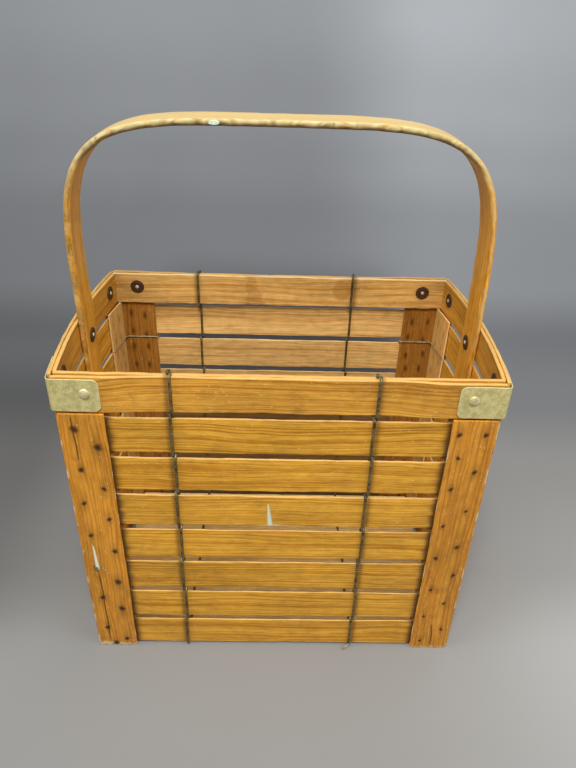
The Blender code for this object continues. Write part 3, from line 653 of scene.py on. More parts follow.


# Wall slats: seven thin ash slats on each wall, nailed between the posts and the inner boards.
# The long walls' slats are straight, and the ends' slats bulge round the handle's legs. They
# were varnished outside only, so their inner faces are paler. Painted shadow and grime lie
# along the posts, painted shadow and rust beside the wires, and painted shade inside the
# lower back slats.
front_wood = wood("front_slat_wood", colour(230, 172, 60), colour(188, 124, 26),
                  colour(228, 192, 134), 0.46, 0.06, worn=0.66, grime=0.3,
                  mark_colour=colour(214, 226, 206))
back_wood = wood("back_slat_wood", colour(236, 194, 122), colour(204, 152, 80),
                 colour(242, 220, 176), 0.5, 0.04, worn=0.5, grime=0.35)
LEFT_WIRE = -0.0970
RIGHT_WIRE = 0.0860
# Offset and reach of the painted shadow and rust beside each wire
WIRE_SHADOW_SHIFT = 0.0024
WIRE_SHADOW_REACH = 0.0030
POST_WIDTH = 0.0415
POST_OVERHANG = 0.0005
END_POST_INNER = 0.0386
FRONT_TONES = {1: 0.05, 2: 0.05, 3: -0.03, 4: 0.07, 5: 0.03, 6: 0.03, 7: -0.07}
# Back slats' tones: the top one lighter and those below darker, painted light and shade inside the
# basket
BACK_LIGHT_AND_SHADE_TONES = {7: 0.12, 6: -0.06, 5: -0.05}


def eased(value, low, high):
    """Smooth step from 0 at low to 1 at high: 3 s^2 - 2 s^3."""
    share = np.clip((value - low) / (high - low), 0, 1)
    return share * share * (3 - 2 * share)


def wire_shadow_and_rust(across_wall, depth):
    """Painted shadow and soft rust beside both wires: depth * exp(-(distance / reach)^2), deepest on
    one side.
    """
    total = np.zeros_like(across_wall)
    for wire_x in (LEFT_WIRE, RIGHT_WIRE):
        beside = across_wall - wire_x - np.sign(wire_x) * WIRE_SHADOW_SHIFT
        total = np.maximum(total, depth * np.exp(-(beside / WIRE_SHADOW_REACH) ** 2))
    return total


def post_shadow(seed, half_length, post_inner, wired=False, inside_shade=0.0, shaded_top=False):
    """Painted shadow and grime on a slat along the post over it, painted shadow and rust by the
    wires, and painted shade on its inner face, with a painted rim shadow at its top if shaded_top.
    """
    def dirt_and_shade(along, across, face):
        # Painted shadow and grime along the edge of the post over the slat
        inside = post_inner - np.abs(along - half_length)
        reach = 0.0044 * (1 + 0.35 * wander(seed, across, 0.02))
        total = 0.92 * np.exp(-(np.maximum(inside, 0) / reach) ** 2)
        if wired:
            # Painted wire shadow and rust
            total = np.maximum(total, wire_shadow_and_rust(along - half_length, 0.58))
        # Painted shadow of the rim band along the top of the inner face
        rim_shadow = 0.24 * eased(across, 0.003, 0.007) if shaded_top else 0.0
        return np.where(face > 0, total, inside_shade + rim_shadow)
    return dirt_and_shade


def spilled_paint(along, across, face):
    """Pale paint on the fifth front slat: a spike down from the top edge, and its splash."""
    height = (PAINT_TOP - across) / (PAINT_TOP - PAINT_FOOT)
    inside = (height > 0) & (height < 1)
    line = PAINT_X + (PAINT_X_END - PAINT_X) * height
    half = 0.0005 + 0.0021 * height
    spike = np.exp(-((along - line) / half) ** 4) * inside
    splash = np.exp(-((along - PAINT_X_END - 0.0035) / 0.0065) ** 2
                    - ((across - PAINT_FOOT) / 0.0013) ** 2)
    return np.maximum(spike, 0.9 * splash) * (face > 0)


SLAT_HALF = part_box("front_slat_5")[1].x
SLAT_5_MIDDLE = (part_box("front_slat_5")[0].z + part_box("front_slat_5")[1].z) / 2
PAINT_X = SLAT_HALF - 0.0094
PAINT_X_END = SLAT_HALF - 0.0070
PAINT_TOP = 0.2125 - SLAT_5_MIDDLE
PAINT_FOOT = 0.1840 - SLAT_5_MIDDLE
for level in range(1, 8):
    for side in ("front", "back"):
        name = f"{side}_slat_{level}"
        low, high = (np.array(corner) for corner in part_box(name))
        centre = (low + high) / 2
        half = (high[0] - low[0]) / 2
        seed = 40 * level + (17 if side == "front" else 29)
        tone = (FRONT_TONES if side == "front" else BACK_LIGHT_AND_SHADE_TONES).get(level, -0.03)
        painted = name == "front_slat_5"
        # Painted shadow by the posts and wires, painted shade inside back slats 1 to 4, and a
        # painted rim shadow on back slat 7
        piece = strip(name + "_ash", [(-half, centre[1], centre[2]), (half, centre[1], centre[2])],
                      (0, 0, 1), high[2] - low[2], high[1] - low[1],
                      front_wood, seed, tone=tone, inner_finish=back_wood,
                      out_way=(0, SIGN[side], 0), wear=1.0, columns=49 if painted else 17,
                      gap=0.0008 if painted else 0.0013,
                      mark=spilled_paint if painted else None,
                      dirt_and_shade=post_shadow(seed, half, half - POST_WIDTH + POST_OVERHANG, True,
                                       0.8 if level < 5 else 0.0, name == "back_slat_7"))
        settle(piece, "golden_slat" if side == "front" else "inner_slat", name)
for level in range(1, 8):
    for side in ("left", "right"):
        name = f"{side}_slat_{level}"
        low, high = (np.array(corner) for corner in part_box(name))
        x = SIGN[side] * (END_SLAT_INNER + SLAT_THICK / 2)
        z = (low[2] + high[2]) / 2
        seed = 900 + 31 * level + (3 if side == "left" else 5)
        tone = 0.05 * float(np.random.default_rng(seed).uniform(-1, 1))
        half = (high[1] - low[1]) / 2
        # Painted shadow and grime along the end posts
        piece = strip(name + "_ash", [(x, low[1], z), (x, high[1], z)], (0, 0, 1),
                      high[2] - low[2], SLAT_THICK, front_wood, seed, tone=tone,
                      out_way=(SIGN[side], 0, 0), wear=1.0, lift=end_bulge, columns=17,
                      dirt_and_shade=post_shadow(seed, half, half - END_POST_INNER))
        settle(piece, "golden_slat", name)


# Corner posts: two outer boards at each corner, one over the long wall's slats and one over
# the end wall's. They are the feet, so their lower ends are frayed pale, and some have split
# along the grain through the nails.
post_wood = wood("post_wood", colour(218, 152, 50), colour(194, 122, 32),
                 colour(244, 224, 180), 0.47, 0.07, worn=0.7, grime=0.45,
                 mark_colour=colour(238, 238, 212))
POST_THICK = 0.0030
# Each front nail's offset from the post's outer edge and its height, then each crack's lower
# and upper height and its offsets there, all in millimetres
LEFT_NAILS = [(12.7, 300.1), (31.6, 280.4), (13.0, 253.9), (31.4, 231.0), (10.1, 212.6),
              (31.7, 192.2), (11.2, 170.3), (32.6, 148.4), (11.3, 124.1), (30.7, 103.5),
              (12.0, 79.1), (30.5, 61.7), (11.5, 29.9), (30.7, 11.2), (18.1, 3.9)]
RIGHT_NAILS = [(33.9, 300.9), (9.8, 301.4), (30.9, 274.7), (12.4, 258.4), (31.3, 237.2),
               (12.0, 209.5), (31.6, 189.1), (12.7, 160.4), (31.8, 144.3), (10.1, 119.4),
               (30.1, 96.8), (12.8, 75.6), (31.7, 54.0), (9.4, 32.3), (30.5, 12.7)]
LEFT_CRACK = ((262, 317, 12.4, 11.0), (0, 122, 12.0, 12.8))
RIGHT_CRACK = ((4, 41, 17.7, 20.8),)
CRACK_HALF = 0.00062
SPOT_ACROSS = 0.0021
SPOT_UP = 0.0025
DRAWN_ACROSS = 0.0024
DRAWN_UP = 0.0070
STREAK_TOP = 0.158
STREAK_LENGTH = 0.036
STAIN_SIZE = {"left": 1.65, "right": 1.15}
NAIL_SIDES = 10
NAIL_HEAD = [(0.00125, -0.0004), (0.00120, 0.00012), (0.00085, 0.00034), (0.0004, 0.0004)]


def nail_places(long_side, end_side):
    """Offset from the post's outer edge and height of each nail, in metres."""
    if (long_side, end_side) == ("front", "left"):
        return np.array(LEFT_NAILS) / 1000
    if (long_side, end_side) == ("front", "right"):
        return np.array(RIGHT_NAILS) / 1000
    rng = np.random.default_rng(61 + 7 * SIGN[long_side] + 3 * SIGN[end_side])
    level = np.arange(14)
    offset = np.where(level % 2 == 0, 0.0115, 0.0308) + rng.uniform(-0.0012, 0.0012, 14)
    return np.stack([offset, 0.013 + level * 0.0222 + rng.uniform(-0.003, 0.003, 14)], 1)


def chipped(seed, length):
    """Rubbing along a post's edges: frayed at the foot, and chipped here and there above."""
    def rub(at):
        chips = bumps(seed + 60, at, 11, 0, length, 0.0045)
        return 0.28 + 0.8 * chips + 0.8 * np.exp(-at / 0.010)
    return rub


def nail_stain(nails, edge, size):
    """Dark spot round each nail with a fainter stain drawn out along the grain."""
    def dirt_and_shade(along, across, face):
        offset = across - edge if edge < 0 else edge - across
        total = np.zeros_like(along)
        for place, height in nails:
            skew = 0.0005 * np.sin((along - height) / 0.0011 + height * 900)
            grown = size * (1 + 0.2 * math.sin(height * 320))
            aside = (offset - place + skew) / grown
            up = (along - height) / grown
            spot = (aside / SPOT_ACROSS) ** 2 + (up / SPOT_UP) ** 2
            drawn = (aside / DRAWN_ACROSS) ** 2 + (up / DRAWN_UP) ** 2
            total = np.maximum(total, np.maximum(0.98 * np.exp(-spot ** 2), 0.42 * np.exp(-drawn)))
        return total * (face > 0)
    return dirt_and_shade


def split_along(cracks, edge):
    """Depth of a crack that runs between two heights and widens towards its open end."""
    def groove(along, across):
        offset = across - edge if edge < 0 else edge - across
        total = np.zeros_like(along)
        for low, high, place_low, place_high in cracks:
            share = (along - low / 1000) / ((high - low) / 1000)
            line = (place_low + (place_high - place_low) * share) / 1000
            line = line + 0.0004 * wander(77, along, 0.05)
            inside = np.clip(np.minimum(share, 1 - share) * 9, 0, 1)
            total = np.maximum(total, np.exp(-((offset - line) / CRACK_HALF) ** 2) * inside)
        return total
    return groove


def paint_streak(along, across, face):
    """A thin run of pale paint down the left front post, beside its crack."""
    inside = eased(along, 0.121, 0.124) * (1 - eased(along, 0.154, STREAK_TOP))
    share = (STREAK_TOP - along) / STREAK_LENGTH
    line = 0.0111 + 0.0010 * share
    half = 0.0005 + 0.0017 * np.clip(share, 0, 1)
    return 0.95 * np.exp(-((across + POST_WIDTH / 2 - line) / half) ** 4) * inside * (face > 0)


def circles(first, second, sides):
    """Rings of directions, one for each pair of directions: first * cos + second * sin."""
    turn = np.linspace(0, 2 * math.pi, sides, endpoint=False)[:, None]
    return np.cos(turn) * first[:, None] + np.sin(turn) * second[:, None]


def turned(name, profile, places, ways, finish, sides=20, sharp=50):
    """Turned pieces at places, joined into one mesh, from a profile of radii and heights.

    Point = place + way * height + (side cos + up sin) * radius.
    """
    profile = np.asarray(profile, float)
    ways = np.asarray(ways, float)
    side = unit(np.cross((0, 0, 1), ways))
    spoke = circles(side, np.cross(ways, side), sides)
    points = (np.asarray(places)[:, None, None] + spoke[:, None] * profile[None, :, 0, None, None]
              + (ways[:, None] * profile[None, :, 1, None])[:, :, None])
    index = np.arange(points.size // 3).reshape(len(places), len(profile), sides)
    faces = ring_quads(index) + index[:, -1].tolist() + index[:, 0, ::-1].tolist()
    return new_object(name, points, faces, finish, sharp)


def old_metal(name, light, dark, roughness, metallic, scale=60.0, bright=None):
    """Dull metal: mottled colour at two scales, with brighter rubbed edges where stored."""
    made, tree, shader = new_tree(name)
    place = node(tree, "TexCoord").outputs["Object"]
    broad = node(tree, "TexNoise", {"Vector": place, "Scale": scale, "Detail": 5.0,
                                    "Roughness": 0.7}).outputs[0]
    fine = node(tree, "TexNoise", {"Vector": place, "Scale": scale * 9, "Detail": 3.0}).outputs[0]
    share = swayed(tree, fine, 0.6, broad)
    tint = mix_colour(tree, ramp(tree, share, 0.36, 0.62), dark, light)
    if bright is not None:
        edge = node(tree, "Attribute", attribute_name="rubbed").outputs["Fac"]
        tint = mix_colour(tree, math_node(tree, "MULTIPLY", edge, 0.7), tint, bright)
    tree.links.new(tint, shader.inputs["Base Color"])
    tree.links.new(ramp(tree, share, 0.3, 0.7, roughness + 0.14, roughness - 0.06),
                   shader.inputs["Roughness"])
    bump = node(tree, "Bump", {"Height": share, "Strength": 0.3, "Distance": 0.0003})
    tree.links.new(bump.outputs[0], shader.inputs["Normal"])
    shader.inputs["Metallic"].default_value = metallic
    return made


nail_steel = old_metal("nail_steel", colour(78, 30, 12), colour(38, 13, 5), 0.9, 0.0, 240.0)
for long_side in ("front", "back"):
    for end_side in ("left", "right"):
        nails = nail_places(long_side, end_side)
        for name, across_way, out_way in (
                (f"{long_side}_post_{end_side}", (1, 0, 0), (0, SIGN[long_side], 0)),
                (f"{end_side}_post_{long_side}", (0, 1, 0), (SIGN[end_side], 0, 0))):
            low, high = (np.array(corner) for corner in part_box(name))
            seed = 1500 + 13 * sorted(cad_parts).index(name)
            tone = 0.05 * float(np.random.default_rng(seed).uniform(-1, 1))
            on_long = across_way[0] == 1
            shown = on_long and long_side == "front"
            centre = (low + high) / 2
            if on_long:
                width = high[0] - low[0]
                edge = SIGN[end_side] * width / 2
            else:
                centre[0] = SIGN[end_side] * (END_SLAT_INNER + SLAT_THICK + FIT + POST_THICK / 2)
                width = high[1] - low[1]
                edge = SIGN[long_side] * width / 2
            cracks = LEFT_CRACK if end_side == "left" else RIGHT_CRACK
            piece = strip(name + "_ash", [(*centre[:2], low[2]), (*centre[:2], high[2])],
                          across_way, width, POST_THICK, post_wood, seed, tone=tone,
                          out_way=out_way, wear=1.0, ragged=(0.0016, 0.0002), foot=0.006,
                          columns=65 if shown else 33, gap=0.0015 if shown else STATION_GAP,
                          dirt_and_shade=nail_stain(nails, edge, STAIN_SIZE[end_side]),
                          groove=split_along(cracks, edge) if shown else None,
                          rub=chipped(seed, high[2] - low[2]),
                          mark=paint_streak if shown and end_side == "left" else None,
                          lift=None if on_long else end_bulge)
            settle(piece, "brown_post", name)
            face = centre + np.array(out_way) * (POST_THICK / 2 - 0.0001)
            spot = np.tile(face, (len(nails), 1))
            shift = edge - np.sign(edge) * nails[:, 0]
            spot[:, 0 if on_long else 1] += shift
            spot[:, 2] = nails[:, 1]
            if not on_long:
                spot = end_bulge(spot)
            heads = turned(name + "_nails", NAIL_HEAD, spot, np.tile(out_way, (len(nails), 1)),
                           nail_steel, NAIL_SIDES, None)
            settle(heads, "rivet_steel")


# Rim: an inner and an outer band of bent ash on each wall, riveted together with the corner
# boards between them. The bands of the long walls are pinched together in the middle, and
# those of the ends bow outwards. Their top edges are rubbed to bare wood.
rim_wood = wood("rim_wood", colour(220, 162, 64), colour(182, 118, 32),
                colour(220, 184, 116), 0.46, 0.06, worn=0.8, grime=0.5,
                mark_colour=colour(150, 82, 12))
pale_rim_wood = wood("pale_rim_wood", colour(232, 186, 108), colour(202, 146, 70),
                     colour(244, 222, 176), 0.42, 0.14, worn=0.85, grime=0.3,
                     mark_colour=colour(158, 92, 22))
BAND_THICK = 0.004
END_OUTER_THICK = 0.0034
PINCH_END = 0.100
SPREAD_FULL = 0.155
END_BOW = 0.0083
END_HALF = 0.1186
RIM_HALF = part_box("rim_inner_back")[1].x


def varnish_runs(along, across, face):
    """Amber stains inside the back band: a jagged run near the left wire, an oval on the right."""
    x = along - RIM_HALF
    ragged = 0.0035 * wander(31, across, 0.012, 4)
    slope = across * 0.4
    run = eased(x, -0.042 + ragged, -0.040 + ragged)
    run = run - eased(x, -0.026 - slope + ragged, -0.024 - slope + ragged)
    ring = np.sqrt(((x - 0.073) / 0.011) ** 2 + ((across - 0.003) / 0.014) ** 2) + 18 * ragged
    oval = 1 - eased(ring, 0.8, 1.1)
    return (0.30 * run + 0.36 * oval) * (face < 0)


def band_wire_shadow_and_rust(half_length):
    """Painted wire shadow and soft rust on both sides of a band where the wires cross it."""
    return lambda along, across, face: wire_shadow_and_rust(along - half_length, 0.55)


for side in ("front", "back"):
    sign = SIGN[side]
    for layer in ("outer", "inner"):
        name = f"rim_{layer}_{side}"
        low, high = (np.array(corner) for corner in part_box(name))
        z = (low[2] + high[2]) / 2
        along = np.linspace(low[0], high[0], 400)
        near = min(abs(low[1]), abs(high[1]))
        far = max(abs(low[1]), abs(high[1])) - BAND_THICK
        spread = eased(np.abs(along), PINCH_END, SPREAD_FULL)
        out = near + (far - near) * spread + BAND_THICK / 2
        path = np.stack([along, sign * out, np.full(len(along), z)], 1)
        seed = 2000 + 7 * (layer == "outer") + 3 * (side == "back")
        inside_back = name == "rim_inner_back"
        finish = pale_rim_wood if inside_back else rim_wood
        piece = strip(name + "_ash", path, (0, 0, 1), high[2] - low[2], BAND_THICK, finish,
                      seed, out_way=(0, sign, 0), wear=1.0, columns=25, gap=0.0013,
                      mark=varnish_runs if inside_back else None, dirt_and_shade=band_wire_shadow_and_rust(-low[0]))
        settle(piece, "rim_wood", name)
for side in ("left", "right"):
    sign = SIGN[side]
    for layer, thick in (("outer", END_OUTER_THICK), ("inner", BAND_THICK)):
        name = f"rim_{layer}_{side}"
        low, high = (np.array(corner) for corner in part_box(name))
        z = (low[2] + high[2]) / 2
        along = np.linspace(low[1], high[1], 300)
        crown = max(abs(low[0]), abs(high[0])) - thick / 2
        out = crown - END_BOW * (along / END_HALF) ** 2
        path = np.stack([sign * out, along, np.full(len(along), z)], 1)
        seed = 2100 + 7 * (layer == "outer") + 3 * (side == "right")
        piece = strip(name + "_ash", path, (0, 0, 1), high[2] - low[2], thick, rim_wood, seed,
                      out_way=(sign, 0, 0), wear=1.0)
        settle(piece, "rim_wood", name)


# Handle: one steam-bent strip of ash, planed flat, whose legs run down inside the end walls.
# The grip's outside and edges are rubbed to a straw colour, and its inside is a deeper orange.
handle_wood = wood("handle_wood", colour(238, 174, 62), colour(206, 136, 36),
                   colour(222, 194, 136), 0.46, 0.05, worn=0.8, grime=0.4,
                   mark_colour=colour(198, 184, 132))
HANDLE_WIDTH = 0.039
HANDLE_HALF = HANDLE_WIDTH / 2
HANDLE_THICK = 0.0065
HANDLE_LEAN = 0.003
SQUARENESS = 4.6
LEG_FOOT = 0.003
EDGE_FROM = 0.0172
EDGE_FULL = 0.0190
SPRING = RIM_TOP - 0.004
HANDLE_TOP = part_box("handle")[1].z


def handle_line(steps=600):
    """Outer face of the handle: leg, superellipse arch, leg.

    On the arch (x / a)^4.6 + (z / b)^4.6 = 1 above the springing, and the arch leans left by
    up to 3 mm at its top. Below the rim the legs lean in by 5 mm over their length.
    """
    swept = np.radians(np.linspace(0.5, 89.5, steps // 2))
    rise = HANDLE_TOP - SPRING
    slope = rise / LEG_FACE * np.tan(swept)
    angle = np.arctan(slope ** (SQUARENESS / (2 * (SQUARENESS - 1))))
    x = LEG_FACE * np.cos(angle) ** (2 / SQUARENESS)
    z = SPRING + rise * np.sin(angle) ** (2 / SQUARENESS)
    leg_z = np.linspace(LEG_FOOT, SPRING, 60)
    leg_x = LEG_FACE - LEG_LEAN * np.maximum(RIM_BOTTOM - leg_z, 0) / RIM_BOTTOM
    half_x = np.concatenate([leg_x, x])
    half_z = np.concatenate([leg_z, z])
    x = np.concatenate([half_x, [0], -half_x[::-1]])
    z = np.concatenate([half_z, [HANDLE_TOP], half_z[::-1]])
    x = x - HANDLE_LEAN * np.maximum(z - SPRING, 0) / rise
    return np.stack([x, np.zeros(len(x)), z], 1)


face_line = handle_line()
inwards = np.cross(unit(np.gradient(face_line, axis=0)), (0, 1, 0))
inwards *= np.sign((inwards @ np.array([0, 0, -1.0]))[len(inwards) // 2])
core_line = face_line + inwards * HANDLE_THICK / 2
line_length = distances(core_line)


def height_at(at):
    """Height above the ground at a distance along the handle."""
    return np.interp(at, line_length, core_line[:, 2])


def side_at(at):
    """Distance to the right at a distance along the handle."""
    return np.interp(at, line_length, core_line[:, 0])


def handle_rub(at):
    """Rubbing by hands: full on the arch and down the left shoulder, weak on the right leg."""
    arch = eased(height_at(at), 0.42, 0.53)
    return np.where(side_at(at) < 0, 0.56 + 0.12 * arch, 0.45 + 0.25 * arch)


def straw_wear(along, across, face):
    """Varnish worn off the outside of the arch, in long ragged streaks."""
    shift = 0.011 * wander(92, along, 0.09)
    streak = wander(91, across + shift, 0.006, 3)
    worn = eased(height_at(along), 0.47, 0.53) * np.clip(0.74 + 0.62 * streak, 0.15, 1)
    return np.maximum(worn * (face > 0), 0.2 * worn * (np.abs(across) > 0.0180))


def handle_grime_and_shade(along, across, face):
    """Painted shade and grime along the inner corners of the grip and the inner side of its edges,
    and specks down the front edge.
    """
    arch = eased(height_at(along), 0.50, 0.53)
    near = np.exp(-(HANDLE_HALF - np.abs(across)) / 0.0012) * (face < 0)
    drawn = along + 0.010 * face * (1 - np.abs(across) / HANDLE_HALF)
    speck = np.clip(0.45 + 0.8 * wander(95, drawn, 0.045, 4), 0, 1)
    edge = eased(np.abs(across), EDGE_FROM, EDGE_FULL)
    patch = np.exp(-((side_at(along) + 0.004) / 0.03) ** 2) * near
    right = side_at(along) > 0.05
    mottle = np.random.default_rng(95).random(along.shape) ** 4
    speck = speck + 1.3 * mottle
    # Painted shade on the inner side of the edges, with grime specks
    handled = edge * np.where(right, 0.04 + 0.34 * (face < 0), 0.24 + 0.26 * speck)
    grip = edge * arch * (0.22 + 0.25 * speck + 0.55 * (face < 0))
    return np.clip(0.85 * near * arch + 0.6 * patch + handled * (1 - 0.6 * arch) + grip, 0, 0.9)


piece = strip("handle_ash", core_line, (0, 1, 0), HANDLE_WIDTH, HANDLE_THICK, handle_wood, 2500,
              out_way=(0, 0, 1), corner=0.0021, wear=1.0, wavy=0.0003, columns=25, gap=0.0018,
              rub=handle_rub, mark=straw_wear, dirt_and_shade=handle_grime_and_shade)
settle(piece, "handle_wood", "handle")

# A flake of pale old paint on the grip's front edge, left of its middle
FLAKE_FROM = -0.066
FLAKE_TO = -0.056
FLAKE_DROP = 0.0036
FLAKE_WIDTH = 0.0046
FLAKE_THICK = 0.0007
FLAKE_POINTS = 9
old_paint = old_metal("old_pale_paint", colour(216, 230, 208), colour(178, 204, 176), 0.55, 0.0,
                      400.0)
flake_x = np.linspace(FLAKE_FROM, FLAKE_TO, FLAKE_POINTS)
flake_z = np.interp(flake_x, face_line[::-1, 0], face_line[::-1, 2]) - FLAKE_DROP
flake_path = np.stack([flake_x, np.full(FLAKE_POINTS, -HANDLE_HALF), flake_z], 1)


def flake_width(at):
    """Oval outline: the square root of 1 - share squared along the flake."""
    share = 2 * at / at[-1] - 1
    return 0.0012 + 0.0034 * np.sqrt(np.maximum(1 - share ** 2, 0))


flake = strip("paint_flake", flake_path, (0, 0, 1), FLAKE_WIDTH, FLAKE_THICK, old_paint, 2600,
              out_way=(0, -1, 0), corner=0.0003, wavy=0.0003, ragged=(0.001, 0.001),
              width_of=flake_width, gap=0.0006)
settle(flake, "handle_wood")


# Corner brackets: a strap of galvanised sheet folded round each corner of the rim, its free
# corners cut round, held by a domed rivet on each face. Inside, each rivet is hammered over
# a wide washer that has rusted dark.
zinc = old_metal("galvanised_sheet", colour(218, 207, 144), colour(186, 174, 112), 0.46, 0.3,
                 120.0, bright=colour(240, 234, 192))
rivet_metal = old_metal("rivet_metal", colour(226, 216, 166), colour(180, 168, 118), 0.4, 0.35,
                        300.0)
washer_rust = old_metal("rusted_washer", colour(86, 48, 22), colour(38, 20, 10), 0.7, 0.0, 260.0)
SHEET = 0.0012
STRAP_LEAF = 0.0455
STRAP_HEIGHT = 0.033
STRAP_BEND = 0.004
STRAP_CORNER = 0.006
STRAP_Y = abs(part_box("front_slat_1")[1].y) + BAND_THICK + FIT
STRAP_X = 0.2023
RIVET_IN = 0.0335
RIVET_RISE = 0.0025
LONG_GRIP = 0.0125
END_GRIP = 0.0092


def end_bow(along):
    """How far the end bands stand out at a distance from their middle."""
    return END_BOW * (1 - (along / END_HALF) ** 2)


def strap_line():
    """Middle of the sheet: along the long wall, a quarter bend, then along the end wall.

    The bend is a quadratic curve: (1 - t)^2 start + 2 t (1 - t) corner + t^2 end.
    """
    corner = np.array([STRAP_X + end_bow(STRAP_Y), STRAP_Y])
    free = corner + SHEET - STRAP_LEAF
    start = corner - (STRAP_BEND, 0)
    finish_y = STRAP_Y - STRAP_BEND
    finish = np.array([STRAP_X + end_bow(finish_y), finish_y])
    share = np.linspace(0, 1, 12)[:, None]
    bend = (1 - share) ** 2 * start + 2 * share * (1 - share) * corner + share ** 2 * finish
    leaf_x = np.linspace(free[0], start[0], 24)[:-1]
    leaf_y = np.linspace(finish_y, STRAP_Y + SHEET - STRAP_LEAF, 24)[1:]
    line = np.concatenate([np.stack([leaf_x, np.full(len(leaf_x), STRAP_Y)], 1), bend,
                           np.stack([STRAP_X + end_bow(leaf_y), leaf_y], 1)])
    ahead = unit(np.gradient(line, axis=0))
    return line + np.stack([-ahead[:, 1], ahead[:, 0]], 1) * SHEET / 2


def strap_width(at):
    """Full height, less the round corners cut at both free ends."""
    inside = np.clip(np.minimum(at, at[-1] - at), 0, STRAP_CORNER)
    cut_back = STRAP_CORNER - np.sqrt(STRAP_CORNER ** 2 - (STRAP_CORNER - inside) ** 2)
    return STRAP_HEIGHT - 2 * cut_back


quarter = np.radians(np.linspace(0, 84, 7))
HEAD_RADIUS = 0.0049
HEAD_RISE = 0.0020
HEAD_EDGE = 0.0003
DOME = np.concatenate([[(0.0047, -0.0004)],
                       np.stack([HEAD_RADIUS * np.cos(quarter),
                                 HEAD_EDGE + HEAD_RISE * np.sin(quarter)], 1)])
WASHER = [(0.0076, -0.0002), (0.0080, 0.0003), (0.0078, 0.0008), (0.0045, 0.0011), (0.0030, 0.0010)]
PEEN = [(0.0021, 0.0008), (0.0020, 0.0015), (0.0014, 0.0019), (0.0006, 0.0020)]


def rivets(name, places, ways, grips):
    """Domed heads outside, rusted washers and hammered ends inside."""
    places = np.asarray(places, float)
    ways = np.asarray(ways, float)
    inside = places - ways * (np.asarray(grips) + FIT)[:, None]
    settle(turned(name + "_heads", DOME, places, ways, rivet_metal), "rivet_steel")
    settle(turned(name + "_washers", WASHER, inside, -ways, washer_rust), "rivet_steel")
    return turned(name + "_ends", PEEN, inside, -ways, rivet_metal)


RIM_MIDDLE = (RIM_BOTTOM + RIM_TOP) / 2
RIVET_Z = RIM_MIDDLE + RIVET_RISE
for long_side in ("front", "back"):
    for end_side in ("left", "right"):
        name = f"bracket_{long_side}_{end_side}"
        across = SIGN[end_side]
        over = SIGN[long_side]
        line = strap_line()
        path = np.stack([across * line[:, 0], over * line[:, 1], np.full(len(line), RIM_MIDDLE)], 1)
        sheet = strip(name + "_sheet", path, (0, 0, 1), STRAP_HEIGHT, SHEET, zinc,
                      2700 + 5 * across + 11 * over, out_way=(across, over, 0), corner=0.0004,
                      wear=0.5, wavy=0.00012, ragged=(0, 0), width_of=strap_width, cut=0.0003,
                      columns=17, gap=0.0012)
        settle(sheet, "dull_zinc", name)
        rivet_x = STRAP_X + SHEET - RIVET_IN
        rivet_y = STRAP_Y + SHEET - RIVET_IN
        tilt = np.array([across, over * 2 * END_BOW * rivet_y / END_HALF ** 2, 0])
        places = [(across * rivet_x, over * (STRAP_Y + SHEET), RIVET_Z),
                  (across * (STRAP_X + SHEET + end_bow(rivet_y)), over * rivet_y, RIVET_Z)]
        ends = rivets(name, places, [(0, over, 0), tilt / np.linalg.norm(tilt)],
                      (LONG_GRIP, END_GRIP))
        settle(ends, "rivet_steel")


# Leg rivets: one through both end bands and the handle's leg on each side, the same steel
# rivets as at the corners, hammered over a washer on the leg's inner face.
LEG_RIVET_Z = RIM_MIDDLE - 0.0045
LEG_RIVET_X = 0.2103
for end_side in ("left", "right"):
    across = SIGN[end_side]
    ends = rivets(f"leg_rivet_{end_side}", [(across * LEG_RIVET_X, 0, LEG_RIVET_Z)],
                  [(across, 0, 0)], [LEG_RIVET_X - LEG_FACE + HANDLE_THICK])
    settle(ends, "rivet_steel", f"leg_rivet_{end_side}")


# Binding wires: one iron wire doubled over the back rim at two places, both strands twined
# through the slats down the back, under the bottom and up the front. It has rusted olive
# brown and has a dull shine.
WIRE_RADIUS = 0.0014
WIRE_SEAT = 0.0015
WIRE_LAY = 0.0008
WIRE_CROSSING = 0.0015
WIRE_TAIL = 0.0012
WIRE_LEAD = 0.00096
WIRE_STEP = 0.0008
BEND_RISE = 0.0018
BEND_ROUND = 0.0003
TURN_UP = 0.0048
FLOOR_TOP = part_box("bottom_frame")[1].z
SLAT_OUTER_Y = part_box("back_slat_1")[1].y
SLAT_INNER_Y = SLAT_OUTER_Y - SLAT_THICK
SLAT_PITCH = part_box("back_slat_2")[0].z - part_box("back_slat_1")[0].z
SLAT_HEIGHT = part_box("back_slat_1")[1].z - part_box("back_slat_1")[0].z
SLAT_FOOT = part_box("back_slat_1")[0].z
wire_iron = old_metal("rusted_wire", colour(124, 110, 68), colour(62, 48, 24), 0.42, 0.35, 150.0)
tie_steel = old_metal("tie_steel", colour(176, 162, 124), colour(112, 92, 58), 0.45, 0.4, 200.0)


def tube(name, points, radius, finish, reference, sides=10):
    """Round wire on a smoothed path: path + radius * (normal cos + binormal sin)."""
    points = np.asarray(points, float)
    length = distances(points)[-1]
    line = point_at(points, np.linspace(0, length, max(int(length / WIRE_STEP), 12)))
    padded = np.concatenate([np.repeat(line[:1], 2, 0), line, np.repeat(line[-1:], 2, 0)])
    line = sum(padded[shift:shift + len(line)] for shift in range(5)) / 5
    ahead = unit(np.gradient(line, axis=0))
    normal = unit(np.asarray(reference) - ahead * (ahead @ np.asarray(reference))[:, None])
    ring = circles(normal, np.cross(ahead, normal), sides)
    index = np.arange(len(line) * sides).reshape(-1, sides)
    faces = ring_quads(index) + [index[-1].tolist(), index[0, ::-1].tolist()]
    return new_object(name, line[:, None] + radius * ring, faces, finish)


def rim_strand_out(outside):
    """Distance out of a strand over the pinched rim, outside or inside it."""
    inner_face = abs(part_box("rim_inner_back")[0].y)
    if outside:
        return inner_face + 2 * (BAND_THICK + FIT) + WIRE_SEAT
    return inner_face - WIRE_SEAT


